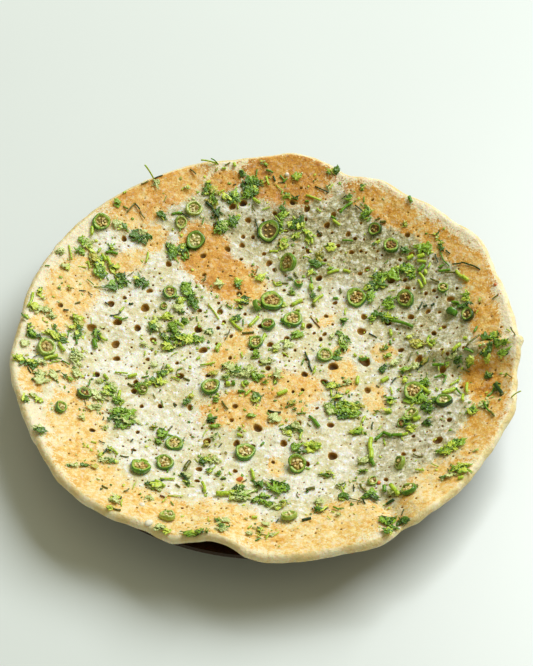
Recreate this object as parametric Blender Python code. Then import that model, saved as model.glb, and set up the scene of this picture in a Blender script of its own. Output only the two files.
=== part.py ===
"""An uttapam, a soft rice and lentil pancake topped with green chilli slices and chopped coriander.

It is dished, because it lies in a dark round coupe plate whose wall bends it up at the edge.
The solids are the plate, the pancake with its pits and its fused small bits, the chilli slices
and the large coriander leaves. Metres, +Z up, the origin at the middle of the plate's foot.
Turns are in degrees, counterclockwise from +X, seen from above.
"""

import math
import random

import bmesh
import bpy
from mathutils import Matrix, Vector
from mathutils.bvhtree import BVHTree

MM = 0.001
SEED = 41

# The plate: a coupe shape with a solid flat foot.
FOOT_RADIUS = 47 * MM
FOOT_CURVE_HEIGHT = 1.6 * MM
WELL_FLOOR = 6.0 * MM
WELL_RADIUS = 35 * MM
PLATE_RADIUS = 90.4 * MM
PLATE_WALL = 4.2 * MM
PLATE_EDGE = 2.2 * MM
PLATE_WALL_SHARES = (0.3, 0.45, 0.6, 0.74, 0.87, 0.96)
PLATE_SEGMENTS = 48
RISE_POWER = 1.7

# The pancake. Its lower face and the plate's upper face rise alike, towards the pancake's rim.
UNDERSIDE = 6.5 * MM
THICKNESS = 5.0 * MM
EDGE_THINNING = 0.6 * MM
RIM_RADIUS = 92.5 * MM
RIM_RISE = 16.2 * MM
RIPPLE = 0.35 * MM
RING_SHARES = (0.12, 0.24, 0.36, 0.46, 0.56, 0.65, 0.73, 0.80, 0.87, 0.94, 1.0)
RING_COUNTS = (12, 24, 24, 48, 48, 48, 96, 96, 96, 96, 96)
UNDER_SHARES = (0.85, 0.68, 0.45, 0.2)
UNDER_COUNTS = (48, 48, 24, 12)
LIP_TURNS = (30, -30)

# Where the rim leaves its circle: turn, half width in degrees, push outwards, lift.
RIM_WAVES = (
    (31, 11, 2.4 * MM, 0),
    (54, 9, -1.5 * MM, 0),
    (68, 10, -2.4 * MM, -0.2 * MM),
    (83, 8, 1.5 * MM, 0),
    (98, 9, -0.8 * MM, 0),
    (174, 9, -1.2 * MM, 0.8 * MM),
    (187, 12, 1.2 * MM, 0),
    (221, 13, 1.6 * MM, 0),
    (242, 11, -3.6 * MM, 0),
    (258, 13, -5.0 * MM, 4.6 * MM),
    (294, 10, 2.4 * MM, 0.5 * MM),
    (326, 8, -0.6 * MM, 0),
    (341, 7, 1.2 * MM, 0),
    (352, 6, -0.2 * MM, 0.6 * MM),
)

# Folds and hollows of the upper face: from x, y to x, y, half width, height. All in mm.
FOLDS_MM = (
    (64, -1, 96, -3, 7, 2.6),
    (72, -15, 84, -18, 8, -2.4),
    (42, -66, 50, -86, 7, -1.9),
    (54, -68, 60, -76, 8, 1.3),
    (-82, 9, -96, 6, 7, 1.3),
    (-64, 6, -60, 8, 12, -1.3),
    (-20, -86, -13, -84, 8, 0.8),
    (28, 78, 32, 86, 8, -0.8),
)

# Chilli slices: x, y, diameter and lean in mm and degrees, then the turn that the slice leans to.
CHILLI_SLICES = (
    (-65, 60, 7.0, 12, 300),
    (-29, 71, 6.5, 8, 40),
    (-28, 58, 7.8, 6, 200),
    (1, 63, 9.0, 10, 250),
    (9, 48, 8.0, 48, 200),
    (2, 31, 9.2, 6, 90),
    (10, 22, 7.4, 5, 30),
    (1, 19, 5.4, 20, 160),
    (-4, 11, 5.4, 8, 270),
    (22, 5, 6.0, 15, 320),
    (-21, -10, 7.2, 6, 110),
    (35, 32, 7.8, 10, 250),
    (54, 29, 7.0, 25, 230),
    (77, 17, 5.4, 15, 190),
    (55, -14, 7.6, 8, 300),
    (66, -21, 6.0, 10, 60),
    (54, -25, 5.2, 12, 180),
    (-38, 34, 5.4, 20, 340),
    (-68, -18, 5.2, 10, 30),
    (43, 61, 5.4, 18, 220),
    (49, 53, 6.2, 10, 80),
    (-34, -37, 6.4, 8, 260),
    (-46, -51, 7.8, 14, 70),
    (-37, -47, 6.2, 20, 250),
    (-8, -40, 7.6, 5, 10),
    (-76, -27, 4.8, 15, 0),
    (-35, -75, 5.6, 12, 120),
    (11, -46, 7.0, 35, 280),
    (8, -73, 6.0, 20, 90),
    (51, -64, 6.2, 12, 150),
    (49, -49, 4.8, 50, 200),
    (-83, 0, 7.6, 10, 0),
    (-34, 65, 5.0, 16, 300),
)
CHILLI_HEIGHT = 1.7 * MM
CHILLI_SIDES = 10
# A slice's turned section: share of the radius, share of the height, from the axis below to the axis above.
CHILLI_SECTION = ((0, 0), (0.94, 0), (1.0, 0.75), (0.74, 1.0), (0.62, 0.55), (0, 0.72))

# Large coriander leaves: x, y, length and width in mm, then the turn of the length.
LEAVES = (
    (-56, 37, 9, 8, -37),
    (-70, 50, 9, 5, -40),
    (-50, 57, 11, 7, -12),
    (-37, 53, 9, 6, -70),
    (-22, 75, 8, 5, -59),
    (-16, 65, 13, 7, 28),
    (-7, 81, 12, 8, 80),
    (61, 50, 11, 5, -32),
    (43, 39, 9, 8, 61),
    (45, 23, 11, 6, -24),
    (84, 4, 9, 7, -18),
    (29, 12, 13, 6, -75),
    (-29, 33, 14, 7, -76),
    (-32, 13, 16, 6, -5),
    (-59, -14, 9, 8, -15),
    (-53, -27, 14, 11, -4),
    (-42, -8, 11, 5, 17),
    (-10, -3, 14, 7, 0),
    (-9, -60, 12, 9, 9),
    (4, -57, 10, 9, 0),
    (16, -37, 10, 6, -26),
    (29, -21, 16, 10, -7),
    (66, -45, 16, 7, 22),
    (43, -77, 9, 7, 57),
)
LEAF_THICKNESS = 0.5 * MM
LEAF_WAVE = 0.9 * MM
LEAF_TEETH = 7
LEAF_NOTCH = 0.66
LEAF_INNER = 0.5

# Small things, spread by a rule.
PIT_ZONE = 82 * MM
PIT_TRIES = 190
PIT_RADIUS = (1.0 * MM, 1.6 * MM)
PIT_DEPTH = 2.4 * MM
PIT_SIDES = 6
PIT_FLOOR_SHARE = 0.6
STEM_TRIES = 60
STEM_LENGTH = (6 * MM, 10 * MM)
STEM_RADIUS = 0.55 * MM
FLAKE_TRIES = 64
FLAKE_RADIUS = (1.5 * MM, 2.4 * MM)
FLAKE_THICKNESS = 1.0 * MM
FLAKE_SIDES = 6
BIT_ZONE = 88 * MM
SPOT_GAP = 0.7 * MM
GOLDEN_TURN = math.pi * (3 - math.sqrt(5))
# Sprigs that stand out over the back rim: turn, length, heading and climb in degrees.
SPRIGS = (
    (131, 9 * MM, 120, 48),
    (118, 8 * MM, 160, 35),
    (104, 8 * MM, 175, 12),
)

REST_GAP = 0.35 * MM
HIGH_ABOVE = 80 * MM


def hump(distance, reach):
    """A smooth hump: 1 at distance 0 and 0 from the reach outwards."""
    if abs(distance) >= reach:
        return 0.0
    return 0.5 * (1 + math.cos(math.pi * distance / reach))


def rim_at(turn):
    """The rim's radius and its extra lift at a turn in radians."""
    radius = RIM_RADIUS
    lift = 0.0
    for centre, reach, push, rise in RIM_WAVES:
        share = hump((math.degrees(turn) - centre + 180) % 360 - 180, reach)
        radius += push * share
        lift += rise * share
    return radius, lift


def distance_to_line(x, y, line):
    """The distance from x, y to the straight line between two points."""
    start = Vector(line[:2])
    along = Vector(line[2:]) - start
    point = Vector((x, y)) - start
    share = max(0.0, min(1.0, point.dot(along) / along.length_squared))
    return (point - along * share).length


def fold_height(x, y):
    """How far the folds raise or lower the upper face at x, y."""
    height = 0.0
    for x0, y0, x1, y1, reach, rise in FOLDS_MM:
        line = (x0 * MM, y0 * MM, x1 * MM, y1 * MM)
        height += rise * MM * hump(distance_to_line(x, y, line), reach * MM)
    return height


def dish_height(radius):
    """How far the dished wall has risen over the flat well at a radius."""
    share = max(0.0, (radius - WELL_RADIUS) / (RIM_RADIUS - WELL_RADIUS))
    return RIM_RISE * share**RISE_POWER


def ripple_height(x, y):
    """The batter's gentle unevenness, never below 0."""
    waves = math.sin(x / (9 * MM) + 1.3) * math.cos(y / (11 * MM) - 0.4)
    return RIPPLE * (1 + waves)


def under_height(x, y):
    """The pancake's lower face."""
    radius = math.hypot(x, y)
    rim_radius, lift = rim_at(math.atan2(y, x))
    edge_share = min(1.0, radius / rim_radius) ** 6
    height = UNDERSIDE + dish_height(radius) + max(0.0, lift) * edge_share
    return height + max(0.0, fold_height(x, y)) * edge_share


def top_height(x, y):
    """The pancake's upper face."""
    radius = math.hypot(x, y)
    rim_radius, lift = rim_at(math.atan2(y, x))
    edge_share = min(1.0, radius / rim_radius)
    height = UNDERSIDE + dish_height(radius) + lift * edge_share**6
    thickness = THICKNESS - EDGE_THINNING * edge_share
    return height + thickness + fold_height(x, y) + ripple_height(x, y) * (1 - edge_share)


def material(name, colour, roughness):
    """A Principled material of one colour."""
    made = bpy.data.materials.new(name)
    made.use_nodes = True
    shader = made.node_tree.nodes["Principled BSDF"]
    shader.inputs["Base Color"].default_value = (*colour, 1)
    shader.inputs["Roughness"].default_value = roughness
    shader.inputs["Metallic"].default_value = 0
    return made


def add_object(name, bm, look, collection=None):
    """Makes the object of a bmesh, shaded smooth but for its sharp edges."""
    mesh = bpy.data.meshes.new(name)
    bmesh.ops.recalc_face_normals(bm, faces=bm.faces)
    bm.to_mesh(mesh)
    bm.free()
    mesh.shade_smooth()
    mesh.set_sharp_from_angle(angle=math.radians(40))
    made = bpy.data.objects.new(name, mesh)
    made.data.materials.append(look)
    (collection or bpy.context.scene.collection).objects.link(made)
    return made


def stitch(bm, inner, outer):
    """Joins two closed rings of points, where the outer has as many points as the inner or twice as many."""
    count = len(outer)
    step = count // len(inner)
    for index in range(count):
        following = (index + 1) % count
        first = inner[index // step]
        if step == 1:
            second = inner[following]
            bm.faces.new((first, outer[index], outer[following]))
            bm.faces.new((first, outer[following], second))
        else:
            bm.faces.new((first, outer[index], outer[following]))
            if index % step == step - 1:
                second = inner[(following // step) % len(inner)]
                bm.faces.new((first, outer[following], second))


def close_ring(bm, centre, ring):
    """Joins a ring of points to one point in its middle."""
    for index, point in enumerate(ring):
        bm.faces.new((centre, point, ring[(index + 1) % len(ring)]))


def turned(bm, section, sides):
    """Turns a section of (radius, height) points around Z. Its first and last points lie on the axis."""
    rings = []
    for radius, height in section[1:-1]:
        ring = []
        for index in range(sides):
            turn = 2 * math.pi * index / sides
            ring.append(bm.verts.new((radius * math.cos(turn), radius * math.sin(turn), height)))
        rings.append(ring)
    for inner, outer in zip(rings, rings[1:]):
        stitch(bm, inner, outer)
    close_ring(bm, bm.verts.new((0, 0, section[0][1])), rings[0])
    close_ring(bm, bm.verts.new((0, 0, section[-1][1])), rings[-1])


def plate_section():
    """The plate's outline from the middle of the foot out, over the rim and back to the middle of the well."""
    section = [(0, 0), (FOOT_RADIUS, 0), (FOOT_RADIUS + FOOT_CURVE_HEIGHT, FOOT_CURVE_HEIGHT)]
    inner = []
    for share in PLATE_WALL_SHARES:
        radius = WELL_RADIUS + share * (PLATE_RADIUS - WELL_RADIUS)
        inner.append((radius, WELL_FLOOR + dish_height(radius)))
        if share > PLATE_WALL_SHARES[0]:
            wall = PLATE_WALL + share * (PLATE_EDGE - PLATE_WALL)
            section.append((radius + 0.3 * wall, inner[-1][1] - wall))
    rim_top = WELL_FLOOR + dish_height(PLATE_RADIUS)
    section.append((PLATE_RADIUS, rim_top - 0.55 * PLATE_EDGE))
    section.append((PLATE_RADIUS - 0.3 * PLATE_EDGE, rim_top - 0.1 * PLATE_EDGE))
    section += reversed(inner)
    section += [(WELL_RADIUS, WELL_FLOOR), (0, WELL_FLOOR)]
    return section


def make_plate(look):
    bm = bmesh.new()
    turned(bm, plate_section(), PLATE_SEGMENTS)
    return add_object("plate", bm, look)


def pancake_ring(bm, share, count, height):
    """A ring of points at a share of the rim's radius, on the upper or the lower face."""
    ring = []
    for index in range(count):
        turn = 2 * math.pi * index / count
        radius = share * rim_at(turn)[0]
        x = radius * math.cos(turn)
        y = radius * math.sin(turn)
        ring.append(bm.verts.new((x, y, height(x, y))))
    return ring


def lip_ring(bm, tilt, count):
    """A ring of points round the lip, tilted up or down from the rim's middle plane."""
    ring = []
    for index in range(count):
        turn = 2 * math.pi * index / count
        rim_radius = rim_at(turn)[0]
        x = rim_radius * math.cos(turn)
        y = rim_radius * math.sin(turn)
        high = top_height(x, y)
        low = under_height(x, y)
        reach = (high - low) / 2
        radius = rim_radius + reach * math.cos(math.radians(tilt))
        z = (high + low) / 2 + reach * math.sin(math.radians(tilt))
        ring.append(bm.verts.new((radius * math.cos(turn), radius * math.sin(turn), z)))
    return ring


def pancake_body():
    """The pancake before its pits are cut."""
    bm = bmesh.new()
    rings = [pancake_ring(bm, share, count, top_height) for share, count in zip(RING_SHARES, RING_COUNTS)]
    rings += [lip_ring(bm, tilt, RING_COUNTS[-1]) for tilt in LIP_TURNS]
    rings.append(pancake_ring(bm, 1.0, RING_COUNTS[-1], under_height))
    for inner, outer in zip(rings, rings[1:]):
        stitch(bm, inner, outer)
    close_ring(bm, bm.verts.new((0, 0, top_height(0, 0))), rings[0])
    outer = rings[-1]
    for share, count in zip(UNDER_SHARES, UNDER_COUNTS):
        inner = pancake_ring(bm, share, count, under_height)
        stitch(bm, inner, outer)
        outer = inner
    close_ring(bm, bm.verts.new((0, 0, under_height(0, 0))), outer)
    return bm


class Spots:
    """The round spots on the pancake that are taken."""

    def __init__(self):
        self.taken = []

    def clear(self, x, y, reach):
        return all(
            math.hypot(x - other_x, y - other_y) >= reach + other_reach + SPOT_GAP
            for other_x, other_y, other_reach in self.taken
        )

    def take(self, x, y, reach):
        self.taken.append((x, y, reach))

    def take_line(self, x, y, turn, half_length, reach):
        """Takes a long spot as a row of round ones."""
        steps = max(1, math.ceil(half_length / reach))
        for index in range(-steps, steps + 1):
            slide = half_length * index / steps
            self.take(x + slide * math.cos(turn), y + slide * math.sin(turn), reach)

    def clear_line(self, x, y, turn, half_length, reach):
        return all(
            self.clear(x + slide * math.cos(turn), y + slide * math.sin(turn), reach)
            for slide in (-half_length, -half_length / 2, 0, half_length / 2, half_length)
        )


def spiral(tries, zone, draw):
    """Points spread evenly over a disc, each moved a little at random."""
    for index in range(tries):
        radius = zone * math.sqrt((index + 0.5) / tries) + draw.uniform(-1.5, 1.5) * MM
        turn = index * GOLDEN_TURN + draw.uniform(-0.03, 0.03)
        yield radius * math.cos(turn), radius * math.sin(turn)


def take_toppings(spots):
    """Keeps the small bits clear of the chilli slices and the leaves."""
    for x, y, diameter, _, _ in CHILLI_SLICES:
        spots.take(x * MM, y * MM, (diameter / 2 + 0.4) * MM)
    for x, y, length, width, turn in LEAVES:
        reach = (width / 2 + 0.3) * MM
        half_length = max(0.0, (length - width) / 2 + 0.3) * MM
        spots.take_line(x * MM, y * MM, math.radians(turn), half_length, reach)


def bar(start, end, radius, look, collection):
    """A square-sectioned bar between two points, for a piece of stem."""
    along = end - start
    bm = bmesh.new()
    bmesh.ops.create_cone(
        bm, cap_ends=True, cap_tris=False, segments=4, radius1=radius, radius2=radius * 0.85, depth=along.length
    )
    turn = along.to_track_quat("Z", "Y").to_matrix().to_4x4()
    bmesh.ops.transform(bm, matrix=Matrix.Translation((start + end) / 2) @ turn, verts=bm.verts)
    add_object("bit", bm, look, collection)


def add_stems(spots, draw, look, collection):
    for x, y in spiral(STEM_TRIES, BIT_ZONE, draw):
        half_length = draw.uniform(*STEM_LENGTH) / 2
        turn = draw.uniform(0, math.pi)
        if not spots.clear_line(x, y, turn, half_length, STEM_RADIUS):
            continue
        spots.take_line(x, y, turn, half_length, STEM_RADIUS)
        ends = []
        for side in (-1, 1):
            end_x = x + side * half_length * math.cos(turn)
            end_y = y + side * half_length * math.sin(turn)
            ends.append(Vector((end_x, end_y, top_height(end_x, end_y) + 0.15 * STEM_RADIUS)))
        bar(ends[0], ends[1], STEM_RADIUS, look, collection)


def add_sprigs(look, collection):
    for turn, length, heading, climb in SPRIGS:
        around = math.radians(turn)
        radius = rim_at(around)[0] - 1.5 * MM
        x = radius * math.cos(around)
        y = radius * math.sin(around)
        start = Vector((x, y, top_height(x, y) - STEM_RADIUS))
        out = Vector((math.cos(math.radians(heading)), math.sin(math.radians(heading)), 0))
        steep = math.radians(climb)
        end = start + length * (out * math.cos(steep) + Vector((0, 0, math.sin(steep))))
        bar(start, end, STEM_RADIUS, look, collection)


def add_flakes(spots, draw, look, collection):
    for x, y in spiral(FLAKE_TRIES, BIT_ZONE, draw):
        reach = draw.uniform(*FLAKE_RADIUS)
        turn = draw.uniform(0, 2 * math.pi)
        lean = draw.uniform(-0.12, 0.12)
        if not spots.clear(x, y, reach):
            continue
        spots.take(x, y, reach)
        bm = bmesh.new()
        outline = []
        for index in range(FLAKE_SIDES):
            angle = 2 * math.pi * index / FLAKE_SIDES
            radius = reach * draw.uniform(0.6, 1.0)
            outline.append((radius * math.cos(angle), 0.75 * radius * math.sin(angle)))
        for height in (0, FLAKE_THICKNESS):
            bm.faces.new([bm.verts.new((u, v, height)) for u, v in outline])
        bmesh.ops.bridge_loops(bm, edges=bm.edges)
        place = Matrix.Translation((x, y, top_height(x, y) - FLAKE_THICKNESS / 2))
        spin = Matrix.Rotation(turn, 4, "Z") @ Matrix.Rotation(lean, 4, "X")
        bmesh.ops.transform(bm, matrix=place @ surface_turn(x, y) @ spin, verts=bm.verts)
        add_object("bit", bm, look, collection)


def surface_turn(x, y):
    """The turn from upright to the upper face's own slope at x, y."""
    step = 2 * MM
    slope_x = (top_height(x + step, y) - top_height(x - step, y)) / (2 * step)
    slope_y = (top_height(x, y + step) - top_height(x, y - step)) / (2 * step)
    normal = Vector((-slope_x, -slope_y, 1)).normalized()
    return Vector((0, 0, 1)).rotation_difference(normal).to_matrix().to_4x4()


def pit_cutter(spots, draw):
    """The tapered cutters of all the pits, as one mesh of shells that don't meet."""
    bm = bmesh.new()
    above = 1.0 * MM
    for x, y in spiral(PIT_TRIES, PIT_ZONE, draw):
        radius = draw.uniform(*PIT_RADIUS)
        turn = draw.uniform(0, math.pi)
        if not spots.clear(x, y, radius):
            continue
        spots.take(x, y, radius)
        middle = top_height(x, y) + (above - PIT_DEPTH) / 2
        place = Matrix.Translation((x, y, middle)) @ Matrix.Rotation(turn, 4, "Z")
        bmesh.ops.create_cone(
            bm,
            cap_ends=True,
            cap_tris=False,
            segments=PIT_SIDES,
            radius1=radius * PIT_FLOOR_SHARE,
            radius2=radius * (1 + 0.25 * above / PIT_DEPTH),
            depth=above + PIT_DEPTH,
            matrix=place,
        )
    return bm


def apply_boolean(body, operation, **operand):
    """Cuts or joins with the EXACT solver and keeps the result as the body's mesh."""
    modifier = body.modifiers.new(operation.lower(), "BOOLEAN")
    modifier.operation = operation
    modifier.solver = "EXACT"
    for name, value in operand.items():
        setattr(modifier, name, value)
    bpy.context.view_layer.update()
    result = bpy.data.meshes.new_from_object(body.evaluated_get(bpy.context.evaluated_depsgraph_get()))
    body.modifiers.clear()
    body.data = result


def make_pancake(batter, green):
    """The pancake with its pits cut and its small green bits joined on."""
    draw = random.Random(SEED)
    spots = Spots()
    take_toppings(spots)
    body = add_object("uttapam", pancake_body(), batter)
    bits = bpy.data.collections.new("bits")
    bpy.context.scene.collection.children.link(bits)
    add_stems(spots, draw, green, bits)
    add_flakes(spots, draw, green, bits)
    add_sprigs(green, bits)
    cutter = add_object("pits", pit_cutter(spots, draw), batter)
    apply_boolean(body, "DIFFERENCE", object=cutter)
    bpy.data.objects.remove(cutter)
    apply_boolean(body, "UNION", operand_type="COLLECTION", collection=bits)
    for bit in list(bits.objects):
        bpy.data.objects.remove(bit)
    bpy.data.collections.remove(bits)
    return body


class Ground:
    """The finished upper face, which the toppings rest on."""

    def __init__(self, body):
        bm = bmesh.new()
        bm.from_mesh(body.data)
        self.tree = BVHTree.FromBMesh(bm)
        bm.free()

    def height(self, x, y):
        """The upper face's height at x, y, or far below where there is none."""
        hit = self.tree.ray_cast(Vector((x, y, HIGH_ABOVE)), Vector((0, 0, -1)))[0]
        return hit.z if hit else -HIGH_ABOVE

    def lift_clear(self, bm):
        """Raises a piece until its points and the middles of its edges clear the face by the gap."""
        points = [vert.co for vert in bm.verts]
        points += [(edge.verts[0].co + edge.verts[1].co) / 2 for edge in bm.edges]
        need = max(self.height(point.x, point.y) + REST_GAP - point.z for point in points)
        bmesh.ops.translate(bm, verts=bm.verts, vec=(0, 0, need))


def make_chilli(name, x, y, diameter, lean, turn, ground, look):
    """One slice: a low ring of flesh round its seeds, leaning towards the turn."""
    bm = bmesh.new()
    section = [(share * diameter / 2, rise * CHILLI_HEIGHT) for share, rise in CHILLI_SECTION]
    turned(bm, section, CHILLI_SIDES)
    axis = Matrix.Rotation(math.radians(turn), 4, "Z") @ Vector((0, 1, 0))
    tip = Matrix.Rotation(math.radians(lean), 4, axis)
    place = Matrix.Translation((x, y, top_height(x, y)))
    bmesh.ops.transform(bm, matrix=place @ surface_turn(x, y) @ tip, verts=bm.verts)
    ground.lift_clear(bm)
    return add_object(name, bm, look)


def leaf_outline(x, y, length, width, turn, draw):
    """The leaf's middle point, a half-way ring and its toothed edge, as x, y pairs."""
    along = Matrix.Rotation(turn, 2)
    middle = Vector((x, y))
    inner = []
    edge = []
    for index in range(2 * LEAF_TEETH):
        angle = math.pi * index / LEAF_TEETH
        share = (LEAF_NOTCH if index % 2 else 1.0) * draw.uniform(0.86, 1.0)
        reach = Vector((math.cos(angle) * length / 2, math.sin(angle) * width / 2))
        edge.append(middle + along @ (reach * share))
        if index % 2 == 0:
            inner.append(middle + along @ (reach * LEAF_INNER))
    return middle, inner, edge


def make_leaf(name, x, y, length, width, turn, draw, ground, look):
    """One coriander leaf: a thin wavy solid whose two faces are split into the same triangles."""
    middle, inner, edge = leaf_outline(x, y, length, width, turn, draw)
    phase = draw.uniform(0, 2 * math.pi)
    bm = bmesh.new()
    faces = []
    for drop in (0.0, LEAF_THICKNESS):
        rings = []
        for ring in ([middle], inner, edge):
            verts = []
            for point in ring:
                offset = point - middle
                angle = math.atan2(offset.y, offset.x)
                share = offset.length / (length / 2)
                wave = LEAF_WAVE * share * (1 + math.sin(3 * angle + phase)) / 2
                height = max(ground.height(*point), top_height(*point)) + LEAF_THICKNESS + wave - drop
                verts.append(bm.verts.new((*point, height)))
            rings.append(verts)
        close_ring(bm, rings[0][0], rings[1])
        stitch(bm, rings[1], rings[2])
        faces.append(rings[2])
    stitch(bm, faces[0], faces[1])
    ground.lift_clear(bm)
    return add_object(name, bm, look)


def main():
    for old in list(bpy.data.objects):
        bpy.data.objects.remove(old)
    glaze = material("dark_glaze", (0.035, 0.018, 0.010), 0.25)
    batter = material("batter", (0.72, 0.62, 0.45), 0.6)
    chilli = material("chilli", (0.10, 0.24, 0.03), 0.4)
    green = material("coriander", (0.05, 0.16, 0.03), 0.6)
    make_plate(glaze)
    ground = Ground(make_pancake(batter, green))
    for index, (x, y, diameter, lean, turn) in enumerate(CHILLI_SLICES):
        name = f"chilli_{index + 1:02d}"
        make_chilli(name, x * MM, y * MM, diameter * MM, lean, turn, ground, chilli)
    draw = random.Random(SEED + 1)
    for index, (x, y, length, width, turn) in enumerate(LEAVES):
        name = f"leaf_{index + 1:02d}"
        make_leaf(
            name, x * MM, y * MM, length * MM, width * MM, math.radians(turn), draw, ground, green
        )


main()
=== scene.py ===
"""The looks of an uttapam on its dark coupe plate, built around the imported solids.

Lengths are in metres and +Z is up. Places that were read from the photograph are in its pixels, and
landed() turns them into places on the pancake's upper face.
"""

import math

import bmesh
import bpy
import numpy as np
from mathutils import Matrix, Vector, noise
from mathutils.geometry import delaunay_2d_cdt


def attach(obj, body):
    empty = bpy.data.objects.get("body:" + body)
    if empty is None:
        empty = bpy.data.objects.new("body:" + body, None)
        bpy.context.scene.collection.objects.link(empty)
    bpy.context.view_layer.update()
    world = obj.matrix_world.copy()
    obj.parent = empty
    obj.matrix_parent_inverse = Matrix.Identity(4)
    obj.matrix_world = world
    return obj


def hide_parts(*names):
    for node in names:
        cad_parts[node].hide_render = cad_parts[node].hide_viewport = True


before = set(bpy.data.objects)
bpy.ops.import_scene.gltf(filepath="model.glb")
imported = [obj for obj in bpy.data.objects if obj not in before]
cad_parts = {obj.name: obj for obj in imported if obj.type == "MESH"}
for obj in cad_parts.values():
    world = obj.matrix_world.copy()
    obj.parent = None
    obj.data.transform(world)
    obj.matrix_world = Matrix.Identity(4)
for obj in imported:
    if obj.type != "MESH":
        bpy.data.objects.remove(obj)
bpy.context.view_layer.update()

MM = 0.001
SEED = 7

# The photograph and the camera that took it.
PHOTO_WIDTH = 533
PHOTO_HEIGHT = 666
CAMERA_ELEVATION = math.radians(52.5)
CAMERA_DISTANCE = 0.80
CAMERA_TARGET = (0.0, 0.005385, 0.0255)
CAMERA_LENS = 115.15
SENSOR_SIDE = 36.0
PIXEL = 0.375 * MM
CAMERA_BACK = np.array((0.0, -math.cos(CAMERA_ELEVATION), math.sin(CAMERA_ELEVATION)))
CAMERA_UP = np.array((0.0, math.sin(CAMERA_ELEVATION), math.cos(CAMERA_ELEVATION)))
CAMERA_RIGHT = np.array((1.0, 0.0, 0.0))
CAMERA_PLACE = np.array(CAMERA_TARGET) + CAMERA_DISTANCE * CAMERA_BACK
FOCAL_PIXELS = CAMERA_LENS * PHOTO_HEIGHT / SENSOR_SIDE
# How many times a pixel's ray is brought nearer to the uneven face.
RAY_STEPS = 12

# The light: a soft one behind and to the right, and a warm one from all round.
KEY_AZIMUTH = math.radians(42)
KEY_ELEVATION = math.radians(51)
KEY_DISTANCE = 1.7
KEY_SIZE = (1.2, 0.95)
KEY_POWER = 31.6
KEY_COLOUR = (0.98, 1.0, 1.03)
FILL_COLOUR = (1.0, 0.95, 0.66)
FILL_STRENGTH = 0.31
FLOOR_HALF = 6.0
FLOOR_PATCHES = 0.12

# The plate's turned shape, the same as the solid's.
FOOT_RADIUS = 47 * MM
FOOT_CURVE_HEIGHT = 1.6 * MM
WELL_FLOOR = 6.0 * MM
WELL_RADIUS = 35 * MM
PLATE_RADIUS = 90.4 * MM
PLATE_WALL = 4.2 * MM
PLATE_EDGE = 2.2 * MM
PLATE_WALL_SHARES = (0.3, 0.45, 0.6, 0.74, 0.87, 0.96)
PLATE_LEAN = 0.3
# How far in and how far down the rim is rounded, in shares of the edge's thickness.
PLATE_ROUNDING = ((0.0, 0.55), (0.3, 0.1))
PLATE_SEGMENTS = 192
PLATE_SHARP_FROM = math.radians(50)
RISE_POWER = 1.7

# The pancake's faces, the same as the solid's.
UNDERSIDE = 6.5 * MM
THICKNESS = 5.0 * MM
EDGE_THINNING = 0.6 * MM
EDGE_POWER = 6
RIM_RADIUS = 92.5 * MM
RIM_RISE = 16.2 * MM
RIPPLE = 0.35 * MM
RIPPLE_SIZE = (9 * MM, 11 * MM)
RIPPLE_SHIFT = (1.3, -0.4)
# Where the rim leaves its circle: turn, half width in degrees, push outwards, lift.
RIM_WAVES = (
    (31, 11, 2.4 * MM, 0),
    (54, 9, -1.5 * MM, 0),
    (68, 10, -2.4 * MM, -0.2 * MM),
    (83, 8, 1.5 * MM, 0),
    (98, 9, -0.8 * MM, 0),
    (174, 9, -1.2 * MM, 0.8 * MM),
    (187, 12, 1.2 * MM, 0),
    (221, 13, 1.6 * MM, 0),
    (242, 11, -3.6 * MM, 0),
    (258, 13, -5.0 * MM, 4.6 * MM),
    (294, 10, 2.4 * MM, 0.5 * MM),
    (326, 8, -0.6 * MM, 0),
    (341, 7, 1.2 * MM, 0),
    (352, 6, -0.2 * MM, 0.6 * MM),
)
# Folds and hollows of the upper face: from x, y to x, y, half width, height. All in mm.
FOLDS_MM = (
    (64, -1, 96, -3, 7, 2.6),
    (72, -15, 84, -18, 8, -2.4),
    (42, -66, 50, -86, 7, -1.9),
    (54, -68, 60, -76, 8, 1.3),
    (-82, 9, -96, 6, 7, 1.3),
    (-64, 6, -60, 8, 12, -1.3),
    (-20, -86, -13, -84, 8, 0.8),
    (28, 78, 32, 86, 8, -0.8),
)
# Finer creases of the upper face than the solid has, written as FOLDS_MM is.
CREASES_MM = (
    (64, 1, 94, 0, 4, 2.6),
    (73, -9, 89, -12, 6, -2.4),
    (43, -70, 48, -82, 5, -0.8),
    (-40, 60, -20, 74, 9, 0.5),
    (5, 66, 30, 60, 10, -0.6),
    (-60, -42, -34, -58, 9, 0.5),
)

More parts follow.
